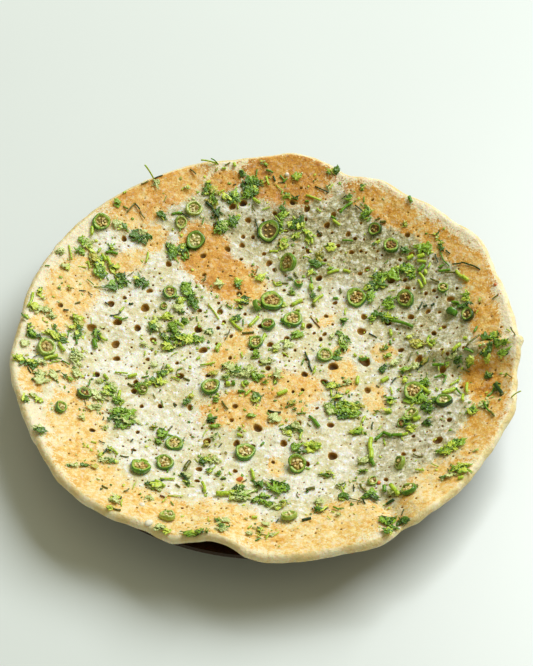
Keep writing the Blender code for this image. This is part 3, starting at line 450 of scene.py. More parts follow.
# How each chilli solid looks: skin from dark 0 to pale 1, filling from pale 0 to brown 1, share of seeds.
USUAL_CHILLI = (0.4, 0.4, 1.0)
CHILLI_TONES = {
    "02": (0.9, 0.2, 0.6),
    "03": (0.1, 0.1, 0.7),
    "04": (0.05, 0.9, 0.3),
    "05": (0.6, 0.4, 0.8),
    "06": (0.4, 0.7, 1.2),
    "08": (0.4, 0.8, 1.2),
    "10": (0.6, 0.2, 0.6),
    "13": (0.35, 0.8, 1.1),
    "14": (0.0, 0.9, 0.4),
    "15": (0.3, 0.7, 1.2),
    "16": (0.05, 0.1, 0.5),
    "17": (0.9, 0.3, 0.4),
    "18": (0.3, 0.7, 0.8),
    "19": (0.15, 1.0, 0.7),
    "20": (0.05, 0.9, 0.8),
    "21": (0.35, 0.8, 1.1),
    "27": (0.9, 0.2, 0.5),
    "29": (0.8, 0.3, 0.5),
    "31": (0.8, 0.0, 0.2),
    "32": (0.75, 0.6, 0.5),
    "33": (0.8, 0.3, 0.3),
}

# The start of a wobble's phase is drawn from 0 to this, in radians.
PHASE = 6

TONE_COUNT = 5
DARK = 0
BRIGHT = 2
PALED = 3
LEAF_FILM = 0.14 * MM
# How finely a piece of leaf is made: its spokes and the shares of its rings.
LEAF_SHAPE = (20, (0.45, 0.8, 1.0))
SCRAP_SHAPE = (13, (0.55, 1.0))
CRUMB_SHAPE = (8, (1.0,))
# A piece's outline: how many lobes, how far in the notches reach, how round the lobes are, how ragged.
LEAF_LOBES = (3, 7)
LEAF_NOTCH = 0.42
LEAF_ROUNDING = 0.7
LEAF_RAGGED = (0.72, 1.15)
# How a piece rises from its middle line to its sides, and from end to end.
LEAF_CURL = (-0.3, 0.45)
LEAF_SLOPE = (-0.15, 0.15)
LEAF_RIB = 0.22 * MM
LEAF_RIB_SHARE = (0.2, 1.0)
LEAF_PIECE = (1.5 * MM, 3.6 * MM)
# How often a clump's pieces cover its area, how near its border they lie, and how their headings spread.
LEAF_COVER = 3.2
LEAF_FILL = 0.9
LEAF_TURN = 0.8
# The share of thin shreds in a clump, and the shares of its main tone, its other tone, dark and bright.
LEAF_SHREDS = 0.28
LEAF_MIX = (0.5, 0.26, 0.12, 0.12)
# Shreds and blades: length in shares of the clump's size, width in shares of the length.
THIN_SHRED = ((1.25, 2.0), (0.16, 0.3))
BROAD_BLADE = ((0.85, 1.5), (0.35, 0.8))
# The height and the size of a piece's crumples, and the height of its ruffled border.
LEAF_CRUMPLE = 1.25 * MM
LEAF_GRAIN = 1.45 * MM
LEAF_GRAIN_SHIFT = 50
LEAF_RUFFLE = 0.3 * MM
# How high the lowest pieces of a clump lie, and how much higher each further layer.
LEAF_LIFT = 0.08 * MM
LEAF_LAYER = 0.28 * MM
LEAF_LAYERS = 4
SCRAP_GAIN = 1.2
# Loose crumbs and thin shreds, spread round the bits of leaf but not over the rim.
CRUMB_COUNT = 760
CRUMB_SPREAD = 5.0 * MM
CRUMB_SIZE = (0.8 * MM, 2.0 * MM)
CRUMB_SLIMNESS = (0.4, 0.9)
CRUMB_TONES = (0, 1, 1, 2, 2, 3, 4)
CRUMB_LIFT = 0.05 * MM
CRUMB_LIMIT = 0.97
SHRED_COUNT = 300
SHRED_LENGTH = (1.2 * MM, 3.4 * MM)
SHRED_RADIUS = (0.15 * MM, 0.32 * MM)
SHRED_TONES = (0, 1, 2, 3, 3)
SHRED_LIMIT = 0.95
STEM_GAIN = 1.12
STEM_SIDES = 8
STEM_STEPS = 6
STEM_SWAY = 0.06
# How high a stem's middle line lies over the face, in shares of its radius.
STEM_REST = 0.8
LEAST_LENGTH = 1e-9
# How steeply a stem may lie, and up to what length that counts.
STEM_TILT = (0, 0.12)
STEM_TILT_REACH = 4 * MM
SPRIG_BOW = 0.6 * MM

PIT_DEPTH = (0.35 * MM, 0.9)
# A pit's section: share of its radius, share of its depth, how brown it is. The brown is partly browned
# batter and partly painted shade, darkest at the bottom.
PIT_SECTION = (
    (1.28, 0.0, 0.0),
    (1.10, 0.05, 0.14),
    (0.96, 0.26, 0.45),
    (0.82, 0.62, 0.75),
    (0.60, 0.92, 0.92),
    (0.30, 1.02, 1.0),
)
PIT_SPOKES = 14
# How a pit is drawn out, how its border wobbles (waves and size), and how brown it is, browned batter and
# painted shade together.
PIT_STRETCH = (1.0, 1.12)
PIT_WOBBLE = ((2, 0.08), (3, 0.06))
PIT_BROWN_AND_SHADE = (0.62, 1.0)
# The ring round a pit that the grid leaves free: a share of the pit's radius, and a little more.
PIT_CLEARANCE = (1.2, 0.1 * MM)
# Fine pores at random, with a gap to all others of so many times both radii.
PORE_COUNT = 1300
PORE_ZONE = 88 * MM
PORE_RADIUS = (0.18 * MM, 0.42 * MM)
PORE_GAP = 1.8
PORE_SPOKES = 7
# Written as PIT_SECTION, with the same painted shade at the bottom.
PORE_SECTION = ((1.4, 0.0, 0.0), (0.95, 0.5, 0.45), (0.5, 1.0, 0.8))

# The triangular grids of both faces: their steps, and how far inside the rim they end.
GRID_STEP = 0.78 * MM
GRID_ROW = math.sqrt(0.75)
GRID_MARGIN = 1.1
GRID_GAP = 0.01
UNDER_GRID_STEP = 3.5 * MM
UNDER_GRID_SHARE = 0.97
# The Delaunay mesh keeps only what lies inside its border, and merges points that are so near.
INSIDE_ONLY = 1
MERGE_REACH = 1e-7
RIM_POINTS = 720
RIM_INSETS = (0.992, 0.98)
# How far the rim is frayed, and how wide the frays are.
RIM_FRAY = 0.5 * MM
FRAY_SIZE = 5 * MM
FRAY_SHIFT = 3.0
LIP_TILTS = (66, 44, 22, 0, -22, -44, -66, -90)
# Where the pale lip begins on the upper face, in shares of the rim's radius, and how far it gets there.
LIP_FADE = (0.90, 0.975)
LIP_START = 0.2
# Between which tilts, in degrees, the lip turns into the underside.
UNDER_FADE = (-10, -80)
# The upper face's relief: height and the size of its features.
RELIEF = (
    (0.34 * MM, 11 * MM),
    (0.24 * MM, 4.6 * MM),
    (0.13 * MM, 2.1 * MM),
)
RELIEF_SHIFT = 9
RELIEF_FADE = (0.93, 1.0)
# How far the toppings stain the batter, and how many times as far it is worked out.
STAIN_REACH = 2.6 * MM
STAIN_LIMIT = 2.5

CHILLI_SINK = 0.7 * MM
CHILLI_SIDES = 36
# The looks of a slice, by their place among its materials.
SKIN, FLESH, PITH, SEEDS = range(4)
# A chilli slice's section: share of the radius, share of the height, and the look of the face that follows.
CHILLI_SECTION = (
    (0.90, 0.00, SKIN),
    (0.99, 0.14, SKIN),
    (1.00, 0.66, SKIN),
    (0.98, 0.90, SKIN),
    (0.92, 1.00, FLESH),
    (0.80, 1.00, FLESH),
    (0.70, 0.90, FLESH),
    (0.66, 0.68, PITH),
    (0.55, 0.60, PITH),
    (0.30, 0.62, PITH),
)
CHILLI_WALL_START = 6
CHILLI_CORE = 0.64
# How far the outer border, the inner border and the cut faces wobble, and the borders' share of the radius.
CHILLI_WOBBLE = (0.13, 0.22, 0.16)
CHILLI_BORDERS = (0.97, 0.98)
CHILLI_WALL_LIMIT = 1.04
WOBBLE_WAVES = (2, 3, 5)
SEED_SIZE = (0.80 * MM, 0.62 * MM, 0.30 * MM)
SEED_SCALE = (0.75, 1.1)
SEED_MESH = (5, 8)
# Seeds for each square millimetre of the radius squared, on a spiral that turns so far from one to the next.
SEED_CROWD = 0.85
SEED_TURN = 2.4
SEED_SWERVE = (-0.3, 0.3)
SEED_START = 0.3
SEED_SPREAD = 0.56
SEED_RISE = (0.62, 0.92)
SEED_TONE_SPREAD = 0.28
# Small slices: their height in shares of the radius, how far a lean raises them, and how deep they sink.
BIT_HEIGHT = 0.9
BIT_RAISE = 0.7
BIT_SINK = 0.3 * MM
BIT_LEAST_LEAN = 5
BIT_SEEDS = 0.8
ODD_HALF_HEIGHT = 0.45 * MM
ODD_LIFT = 0.25 * MM
ODD_MESH = (7, 12)
# A lump's rings are this much of a ball's, and it is tipped by about so many radians.
LUMP_GIRTH = (0.85, 1.1)
LUMP_TIP = 0.6


def hump(distance, reach):
    """A smooth hump: 1 at distance 0 and 0 from the reach outwards."""
    share = np.clip(np.abs(distance) / reach, 0, 1)
    return 0.5 * (1 + np.cos(math.pi * share))


def smooth(low, high, value):
    """0 below low, 1 above high, and a smooth step between."""
    share = np.clip((value - low) / (high - low), 0, 1)
    return share * share * (3 - 2 * share)


def turns(count):
    """The angles of a ring of points."""
    return np.arange(count) * 2 * math.pi / count


def ring_points(radius, angles, height):
    """A ring of points round the Z axis."""
    across = radius * np.cos(angles)
    along = radius * np.sin(angles)
    return np.column_stack((across, along, np.broadcast_to(height, angles.shape)))


def shifted(x, y, u, v, turn):
    """The place that lies u, v from x, y when those are turned."""
    return x + u * math.cos(turn) - v * math.sin(turn), y + u * math.sin(turn) + v * math.cos(turn)


def grain(x, y, size, shift=0.0):
    """Smooth noise between about -1 and 1 at places on a plane."""
    apart = Vector((shift, shift, shift))
    return np.array([noise.noise(Vector((u, v, 0)) / size + apart) for u, v in zip(x, y)])


def rim_at(turn):
    """The rim's radius and its extra lift at turns in radians."""
    degrees = np.degrees(turn)
    radius = np.full_like(degrees, RIM_RADIUS)
    lift = np.zeros_like(degrees)
    for centre, reach, push, rise in RIM_WAVES:
        share = hump((degrees - centre + 180) % 360 - 180, reach)
        radius = radius + push * share
        lift = lift + rise * share
    return radius, lift


def rim_share(x, y):
    """The distance from the middle as a share of the rim's."""
    return np.hypot(x, y) / rim_at(np.arctan2(y, x))[0]


def fold_height(x, y, folds=FOLDS_MM):
    """How far the folds raise or lower the upper face."""
    height = np.zeros_like(x)
    for x0, y0, x1, y1, reach, rise in folds:
        start = np.array((x0, y0)) * MM
        along = np.array((x1 - x0, y1 - y0)) * MM
        share = ((x - start[0]) * along[0] + (y - start[1]) * along[1]) / along.dot(along)
        share = np.clip(share, 0, 1)
        distance = np.hypot(x - start[0] - share * along[0], y - start[1] - share * along[1])
        height = height + rise * MM * hump(distance, reach * MM)
    return height


def dish_height(radius):
    """How far the dished wall has risen over the flat well."""
    share = np.maximum(0.0, (radius - WELL_RADIUS) / (RIM_RADIUS - WELL_RADIUS))
    return RIM_RISE * share**RISE_POWER


def under_height(x, y):
    """The pancake's lower face."""
    radius = np.hypot(x, y)
    rim_radius, lift = rim_at(np.arctan2(y, x))
    edge_share = np.minimum(1.0, radius / rim_radius) ** EDGE_POWER
    raised = np.maximum(0.0, lift) + np.maximum(0.0, fold_height(x, y))
    return UNDERSIDE + dish_height(radius) + raised * edge_share


def top_height(x, y):
    """The pancake's upper face, before its fine relief."""
    radius = np.hypot(x, y)
    rim_radius, lift = rim_at(np.arctan2(y, x))
    edge_share = np.minimum(1.0, radius / rim_radius)
    height = UNDERSIDE + dish_height(radius) + lift * edge_share**EDGE_POWER
    swell = np.sin(x / RIPPLE_SIZE[0] + RIPPLE_SHIFT[0]) * np.cos(y / RIPPLE_SIZE[1] + RIPPLE_SHIFT[1])
    ripple = RIPPLE * (1 + swell) * (1 - edge_share)
    folds = fold_height(x, y, FOLDS_MM + CREASES_MM)
    return height + THICKNESS - EDGE_THINNING * edge_share + folds + ripple


def height_at(x, y):
    """The upper face's height at one place."""
    return float(top_height(np.array(x), np.array(y)))


def ray_through(px, py):
    """The direction from the camera through a pixel."""
    across = (px - PHOTO_WIDTH / 2) / FOCAL_PIXELS
    rise = (PHOTO_HEIGHT / 2 - py) / FOCAL_PIXELS
    return across * CAMERA_RIGHT + rise * CAMERA_UP - CAMERA_BACK


def on_ray(px, py, y):
    """The point at that y that shows at a pixel."""
    ray = ray_through(px, py)
    return CAMERA_PLACE + ray * (y - CAMERA_PLACE[1]) / ray[1]


def landed(px, py):
    """The place on the upper face that shows at a pixel, drawn in to the rim where it falls outside."""
    ray = ray_through(px, py)
    height = UNDERSIDE + THICKNESS
    for _ in range(RAY_STEPS):
        reach = (height - CAMERA_PLACE[2]) / ray[2]
        x, y = (CAMERA_PLACE + reach * ray)[:2].tolist()
        height = height_at(x, y)
    inwards = 1 / max(1.0, float(rim_share(x, y)))
    return x * inwards, y * inwards


def to_photo(points):
    """The pixels at which the photograph shows the points."""
    offset = points - CAMERA_PLACE
    depth = -offset @ CAMERA_BACK
    px = PHOTO_WIDTH / 2 + FOCAL_PIXELS * (offset @ CAMERA_RIGHT) / depth
    py = PHOTO_HEIGHT / 2 - FOCAL_PIXELS * (offset @ CAMERA_UP) / depth
    return px, py


def zone_share(points, zones):
    """How deep in one of the zones each point lies, times the zone's strength."""
    px, py = to_photo(points)
    deepest = np.zeros(len(points))
    for middle_x, middle_y, length, width, turn, strength in zones:
        angle = math.radians(turn)
        along = (px - middle_x) * math.cos(angle) + (py - middle_y) * math.sin(angle)
        across = (py - middle_y) * math.cos(angle) - (px - middle_x) * math.sin(angle)
        distance = np.hypot(along / length, across / width)
        deepest = np.maximum(deepest, strength * smooth(*ZONE_FADE, distance))
    return deepest


class Heap:
    """Many small meshes that are joined into one, with values kept at their points."""

    def __init__(self, *names):
        self.points = []
        self.faces = []
        self.looks = []
        self.values = {name: [] for name in names}
        self.count = 0

    def own_faces(self, faces, look=0):
        """Adds faces given by the heap's own point numbers, with one look or a look for each."""
        self.faces += faces
        self.looks += np.broadcast_to(look, (len(faces),)).tolist()

    def add(self, points, faces, look=0, **values):
        """Adds points, with faces that count from the first of them."""
        self.points.append(points)
        self.own_faces([tuple(index + self.count for index in face) for face in faces], look)
        for name, kept in self.values.items():
            kept.append(np.broadcast_to(np.asarray(values.get(name, 0.0), float), (len(points),)))
        self.count += len(points)

    def make(self, name, looks):
        """Makes the joined mesh an object."""
        values = {key: np.concatenate(kept) for key, kept in self.values.items()}
        return add_mesh(name, np.concatenate(self.points), self.faces, looks, self.looks, values)


def placed(name, data):
    """A new object in the scene."""
    made = bpy.data.objects.new(name, data)
    bpy.context.scene.collection.objects.link(made)
    return made


def add_mesh(name, points, faces, looks, face_looks=None, values=None):
    """Makes a smooth shaded object of points and faces, with materials and point values."""
    mesh = bpy.data.meshes.new(name)
    mesh.from_pydata(np.asarray(points).tolist(), [], [list(map(int, face)) for face in faces])
    for look in looks:
        mesh.materials.append(look)
    if face_looks is not None:
        mesh.polygons.foreach_set("material_index", np.asarray(face_looks, np.int32))
    for key, kept in (values or {}).items():
        layer = mesh.attributes.new(key, "FLOAT", "POINT")
        layer.data.foreach_set("value", np.asarray(kept, np.float32))
    mesh.shade_smooth()
    mesh.update()
    return placed(name, mesh)


def belong(piece, slot, *nodes):
    """Ties a piece to the frame and hides the solids that it stands for. The slot is not used."""
    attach(piece, "root")
    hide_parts(*nodes)


def band(first, second, count):
    """Faces between two closed rings of points, given by the numbers of their first points."""
    pairs = [(index, (index + 1) % count) for index in range(count)]
    return [(first + one, first + other, second + other, second + one) for one, other in pairs]


def fan(centre, ring, count, up=True):
    """Faces from one point to a closed ring."""
    pairs = [(ring + index, ring + (index + 1) % count) for index in range(count)]
    return [(centre, *(pair if up else pair[::-1])) for pair in pairs]


def skin_faces(ring_count, sides):
    """Faces of a closed skin: the points of its rings, then the middles of its first and its last ring."""
    faces = []
    for index in range(ring_count - 1):
        faces += band(index * sides, (index + 1) * sides, sides)
    start = ring_count * sides
    return faces + fan(start, 0, sides, up=False) + fan(start + 1, start - sides, sides)


def flipped(faces):
    """The faces turned to their other side."""
    return [face[::-1] for face in faces]


# Where a Mix node keeps its share, its two colours and its result.
MIX_INPUTS = (0, 6, 7)
MIX_RESULT = 2
# The curve from a screen's values to linear ones.
SCREEN_OFFSET = 0.055
SCREEN_POWER = 2.4


def linear(red, green, blue):
    """A linear colour, with its alpha, from 0-255 values as a screen shows them."""
    shares = [(value / 255 + SCREEN_OFFSET) / (1 + SCREEN_OFFSET) for value in (red, green, blue)]
    return (*(share**SCREEN_POWER for share in shares), 1)


class Nodes:
    """A material's nodes, with one short call for each kind. Colours are 0-255 values."""

    def __init__(self, name):
        self.material = bpy.data.materials.new(name)
        self.material.use_nodes = True
        self.tree = self.material.node_tree
        self.shader = self.tree.nodes["Principled BSDF"]
        self.place = self.tree.nodes.new("ShaderNodeTexCoord").outputs["Object"]

    def put(self, socket, value):
        """Links an output to a socket, or sets the socket to a plain value."""
        if isinstance(value, bpy.types.NodeSocket):
            self.tree.links.new(value, socket)
        elif socket.type == "RGBA":
            socket.default_value = linear(*value)
        else:
            socket.default_value = value

    def fill(self, node, inputs):
        """Sets or links a node's inputs, named with underscores for spaces."""
        for name, value in inputs.items():
            self.put(node.inputs[name.replace("_", " ")], value)

    def node(self, kind, **inputs):
        """A new node with its inputs filled."""
        made = self.tree.nodes.new("ShaderNode" + kind)
        self.fill(made, inputs)
        return made

    def noise(self, size, detail=3.0, roughness=0.55):
        """Noise with features of about that size in metres."""
        made = self.node("TexNoise", Vector=self.place, Scale=1 / size, Detail=detail, Roughness=roughness)
        return made.outputs["Fac"]

    def cells(self, size):
        """The distance to the nearest of many points spaced about that far apart."""
        return self.node("TexVoronoi", Vector=self.place, Scale=1 / size).outputs["Distance"]

    def value(self, name):
        """A value kept at the mesh's points."""
        made = self.node("Attribute")
        made.attribute_name = name
        return made.outputs["Fac"]

    def math(self, operation, first, second):
        """The result of one operation on two values."""
        made = self.node("Math")
        made.operation = operation
        self.put(made.inputs[0], first)
        self.put(made.inputs[1], second)
        return made.outputs[0]

    def times(self, first, second):
        return self.math("MULTIPLY", first, second)

    def plus(self, first, second):
        return self.math("ADD", first, second)

    def minus(self, first, second):
        return self.math("SUBTRACT", first, second)

    def step(self, value, low, high):
        """0 at low, 1 at high, and a smooth step between."""
        made = self.node("MapRange", Value=value, From_Min=low, From_Max=high)
        made.interpolation_type = "SMOOTHSTEP"
        return made.outputs["Result"]

    def patches(self, low, high, size, *finish):
        """Soft patches: 0 where a noise is at low, 1 where it is at high."""
        return self.step(self.noise(size, *finish), low, high)

    def mix(self, share, first, second):
        """From the first colour at share 0 to the second at share 1."""
        made = self.node("Mix")
        made.data_type = "RGBA"
        for index, value in zip(MIX_INPUTS, (share, first, second)):
            self.put(made.inputs[index], value)
        return made.outputs[MIX_RESULT]

    def veil(self, colour, share, strength, other):
        """The colour under another one, as far as share times strength."""
        return self.mix(self.times(share, strength), colour, other)

    def ramp(self, value, *stops):
        """A colour ramp of (place, colour) stops."""
        made = self.node("ValToRGB", Fac=value)
        elements = made.color_ramp.elements
        while len(elements) < len(stops):
            elements.new(0.5)
        for element, (place, colour) in zip(elements, stops):
            element.position = place
            element.color = linear(*colour)
        return made.outputs["Color"]

    def toned(self, *colours):
        """One of the colours, chosen by the tone kept at the points, from 0 to 1."""
        if len(colours) == 1:
            return colours[0]
        last = len(colours) - 1
        stops = ((index / last, colour) for index, colour in enumerate(colours))
        return self.ramp(self.value("tone"), *stops)

    def bump(self, height, depth, strength):
        """Raises the shading by height times depth."""
        made = self.node("Bump", Height=height, Distance=depth, Strength=strength)
        earlier = self.shader.inputs["Normal"]
        if earlier.links:
            self.put(made.inputs["Normal"], earlier.links[0].from_socket)
        self.put(earlier, made.outputs["Normal"])

    def finish(self, colour, relief, **inputs):
        """Fills the shader, adds fine relief by its depth, strength and noise, and gives the material."""
        self.fill(self.shader, {"Base_Color": colour, **inputs})
        if relief:
            depth, strength, *fineness = relief
            self.bump(self.noise(*fineness), depth, strength)
        return self.material


def batter_look():
    """Cream steamed batter with golden fried patches, brown pits, fine pores, and painted shade and
    highlights.
    """
    nodes = Nodes("batter_crumb")
    hollows = nodes.noise(4.2 * MM, 5, 0.62)
    ragged = nodes.minus(nodes.noise(2.8 * MM, 8, 0.74), 0.5)
    crumb = nodes.noise(1.9 * MM, 6, 0.6)
    specks = nodes.minus(nodes.noise(0.75 * MM, 4, 0.65), 0.5)
    brown, fried, damp_and_shade, pit, lip = map(nodes.value, ("brown", "fried", "damp_and_shade", "pit", "lip"))
    edge = nodes.step(lip, 0.0, 0.2)

    cream = nodes.mix(nodes.patches(0.38, 0.62, 10 * MM), (227, 220, 174), (244, 242, 222))
    # Painted shade: yellow-grey in the hollows and the crumb's low spots. Painted highlight: near white on
    # its high spots.
    cream = nodes.veil(cream, nodes.step(hollows, 0.50, 0.34), 0.32, (202, 188, 108))
    cream = nodes.veil(cream, nodes.step(crumb, 0.47, 0.34), 0.46, (178, 158, 78))
    cream = nodes.mix(nodes.step(crumb, 0.52, 0.64), cream, (255, 254, 252))

    # Painted shade at the back and right, partly damp batter: darkest in the hollows and the crumb's low
    # spots, with near white painted highlights on its high spots.
    shade_by_relief = nodes.plus(nodes.times(hollows, 0.28), nodes.times(crumb, 0.72))
    damp_and_shade_colour = nodes.ramp(
        nodes.plus(shade_by_relief, nodes.times(specks, 0.6)),
        (0.34, (92, 80, 26)),
        (0.44, (148, 138, 74)),
        (0.53, (190, 184, 130)),
        (0.64, (230, 230, 206)),
    )
    damp_and_shade_colour = nodes.veil(damp_and_shade_colour, nodes.step(crumb, 0.52, 0.62), 0.4, (242, 244, 232))
    cream = nodes.mix(nodes.times(damp_and_shade, nodes.minus(0.85, edge)), cream, damp_and_shade_colour)

    # Freckles of gold in some regions, green stains under the toppings, and a warm border.
    freckles = nodes.times(nodes.patches(0.56, 0.65, 1.0 * MM, 5, 0.7), nodes.patches(0.45, 0.6, 7 * MM, 2))
    cream = nodes.veil(cream, freckles, 0.5, (208, 160, 84))
    stain = nodes.times(nodes.value("stain"), nodes.patches(0.4, 0.6, 2.2 * MM, 4, 0.6))
    cream = nodes.veil(cream, stain, 0.6, (184, 190, 100))
    cream = nodes.veil(cream, edge, 0.82, (250, 238, 204))

    # The fried patches, with a pale halo and a ragged border.
    halo = nodes.step(nodes.plus(brown, ragged), 0.05, 0.5)
    cream = nodes.veil(cream, halo, 0.6, (250, 234, 180))
    broken = nodes.plus(nodes.times(ragged, 2.5), nodes.times(specks, 2.1))
    golden = nodes.step(nodes.plus(brown, broken), 0.34, 0.54)
    tone = nodes.times(nodes.noise(7 * MM, 4, 0.6), 0.5)
    tone = nodes.plus(tone, nodes.times(nodes.plus(ragged, specks), 0.9))
    gold = nodes.ramp(
        nodes.plus(tone, nodes.times(fried, 0.22)),
        (0.04, (249, 238, 194)),
        (0.24, (242, 208, 124)),
        (0.44, (224, 163, 52)),
        (0.70, (176, 110, 14)),
    )
    flecks = nodes.patches(0.53, 0.62, 1.5 * MM, 5, 0.6)
    gold = nodes.veil(gold, flecks, nodes.minus(0.66, nodes.times(fried, 0.3)), (251, 238, 202))
    colour = nodes.mix(golden, cream, gold)

    # Inside the pits: browned batter, darkening to near black at the bottom as painted shade.
    inside = nodes.ramp(
        pit,
        (0.0, (222, 190, 104)),
        (0.35, (196, 150, 52)),
        (0.72, (138, 98, 20)),
        (1.0, (66, 44, 8)),
    )
    colour = nodes.mix(nodes.step(pit, 0.05, 0.35), colour, inside)

    rind = nodes.mix(nodes.patches(0.4, 0.6, 6 * MM, 4), (234, 214, 150), (247, 235, 192))
    rind = nodes.veil(rind, nodes.step(crumb, 0.55, 0.68), 0.35, (226, 182, 104))
    colour = nodes.mix(nodes.step(lip, 0.2, 0.75), colour, rind)
    below = nodes.ramp(nodes.noise(9 * MM, 7, 0.66), (0.36, (240, 208, 138)), (0.62, (204, 140, 62)))
    colour = nodes.mix(nodes.value("under"), colour, below)

    nodes.bump(hollows, 1.8 * MM, 0.5)
    softer = nodes.minus(1.0, nodes.times(golden, 0.5))
    nodes.bump(nodes.times(nodes.minus(crumb, 0.5), softer), 1.2 * MM, 0.7)
    return nodes.finish(
        colour,
        (0.2 * MM, 0.5, 0.7 * MM, 3, 0.5),
        Roughness=nodes.minus(0.62, nodes.times(damp_and_shade, 0.24)),
        Subsurface_Weight=0.4,
        Subsurface_Scale=2.6 * MM,
        Subsurface_Radius=(1.0, 0.65, 0.3),
        Specular_IOR_Level=0.5,
    )


def leaf_look():
    """Wilted moist coriander: crumpled dark green with painted highlights and shade, paled in places by
    batter.
    """
    nodes = Nodes("coriander_leaf")
    # Painted light: low is each tone in painted shade, high the same tone lit, mixed by noise; the midrib is
    # paled with the lit colour, and pale patches are painted highlights.
    low = nodes.toned((18, 42, 6), (44, 82, 8), (116, 148, 14), (138, 154, 66), (104, 104, 16))
    high = nodes.toned((92, 134, 40), (148, 188, 52), (216, 232, 86), (216, 226, 148), (198, 192, 80))
    lit_share = nodes.plus(nodes.noise(0.75 * MM, 4, 0.62), nodes.times(nodes.value("tint"), 0.26))
    colour = nodes.mix(nodes.step(lit_share, 0.45, 0.62), low, high)
    colour = nodes.veil(colour, nodes.value("rib"), 0.5, high)
    colour = nodes.veil(colour, nodes.patches(0.58, 0.7, 1.3 * MM, 4, 0.6), 0.34, (206, 218, 156))
    return nodes.finish(
        colour,
        (0.26 * MM, 0.8, 0.55 * MM),
        Roughness=0.25,
        Subsurface_Weight=0.08,
        Subsurface_Scale=0.5 * MM,
        Specular_IOR_Level=0.5,
    )


def speckled_look(name, colours, patches, others, relief, ends=0.0, **inputs):
    """A colour by its tone with soft patches of others, and paler cut ends where they are kept."""
    nodes = Nodes(name)
    colour = nodes.mix(nodes.patches(*patches), nodes.toned(*colours), nodes.toned(*others))
    if ends:
        colour = nodes.veil(colour, nodes.value("end"), ends, (214, 222, 150))
    return nodes.finish(colour, relief, **inputs)


def stem_look():
    """Cut coriander stems, most of them bright yellow-green."""
    return speckled_look(
        "coriander_stem",
        ((36, 70, 10), (112, 114, 26), (104, 156, 16), (188, 214, 58), (122, 78, 26)),
        (0.5, 0.66, 0.7 * MM),
        ((16, 38, 2), (66, 66, 8), (56, 100, 4), (124, 166, 16), (70, 40, 8)),
        (0.1 * MM, 0.6, 0.35 * MM),
        ends=0.7,
        Roughness=0.3,
        Subsurface_Weight=0.15,
        Subsurface_Scale=0.7 * MM,
    )


def chilli_looks():
    """A chilli's glossy skin, its thin cut wall, its hollow under the seeds, and its fried seeds."""
    return [
        speckled_look(
            "chilli_skin",
            ((24, 56, 8), (72, 130, 18), (170, 190, 74)),
            (0.45, 0.62, 1.4 * MM, 4),
            ((38, 74, 14), (104, 162, 34), (206, 212, 112)),
            (0.16 * MM, 0.6, 0.7 * MM),
            Roughness=0.2,
            Specular_IOR_Level=0.6,
        ),
        speckled_look(
            "chilli_flesh",
            ((112, 150, 42), (180, 206, 84), (226, 228, 152)),
            (0.45, 0.65, 0.8 * MM),
            ((108, 146, 32),),
            (0.14 * MM, 0.7, 0.4 * MM),
            Roughness=0.28,
            Subsurface_Weight=0.2,
            Subsurface_Scale=0.6 * MM,
        ),
        speckled_look(
            "chilli_pith",
            ((198, 200, 108), (184, 160, 76), (96, 70, 28)),
            (0.48, 0.64, 1.0 * MM, 4),
            ((104, 92, 28),),
            (0.2 * MM, 0.8, 0.5 * MM),
            Roughness=0.36,
            Subsurface_Weight=0.1,
            Subsurface_Scale=0.6 * MM,
        ),
        speckled_look(
            "chilli_seed",
            ((246, 238, 178), (228, 202, 112), (150, 108, 40)),
            (0.5, 0.66, 0.6 * MM),
            ((150, 96, 40),),
            (0.08 * MM, 0.6, 0.3 * MM),
            Roughness=0.34,
        ),
    ]


def bit_look(name, low, high):
    """A small bit: red chilli, bare batter, and in one place a near white painted highlight."""
    nodes = Nodes(name)
    return nodes.finish(
        nodes.mix(nodes.noise(0.8 * MM, 4), low, high),
        (0.2 * MM, 0.7, 0.5 * MM, 4),
        Roughness=0.4,
        Subsurface_Weight=0.1,
        Subsurface_Scale=0.6 * MM,
    )


def glaze_look():
    """The plate's dark brown glaze."""
    nodes = Nodes("plate_dark_glaze")
    colour = nodes.mix(nodes.noise(6 * MM, 5, 0.6), (30, 18, 8), (58, 36, 18))
    colour = nodes.mix(nodes.step(nodes.cells(2.2 * MM), 0.12, 0.03), colour, (92, 66, 40))
    return nodes.finish(colour, (0.08 * MM, 0.4, 3 * MM, 2), Roughness=0.24)


def floor_look():
    """The plain pale floor, slightly glossy."""
    nodes = Nodes("pale_table")
    colour = nodes.mix(nodes.noise(FLOOR_PATCHES, 2), (222, 230, 227), (226, 234, 231))
    return nodes.finish(colour, None, Roughness=0.3, Specular_IOR_Level=0.5)


def pit_places(draw):
    """The pits that the photograph shows and finer pores: x, y, radius, depth, section and spokes."""
    found = []
    taken = []
    least, share = PIT_DEPTH
    for px, py, half_width in PITS:
        x, y = landed(px, py)
        radius = half_width * PIXEL
        taken.append((x, y, radius))
        found.append((x, y, radius, least + share * radius, PIT_SECTION, PIT_SPOKES))
    taken = np.array(taken)
    for _ in range(PORE_COUNT):
        turn = draw.uniform(0, 2 * math.pi)
        away = PORE_ZONE * math.sqrt(draw.uniform(0, 1))
        radius = draw.uniform(*PORE_RADIUS)
        x, y = away * math.cos(turn), away * math.sin(turn)
        if np.any(np.hypot(taken[:, 0] - x, taken[:, 1] - y) < PORE_GAP * (radius + taken[:, 2])):
            continue
        taken = np.vstack((taken, (x, y, radius)))
        found.append((x, y, radius, least + share * radius, PORE_SECTION, PORE_SPOKES))
    return found


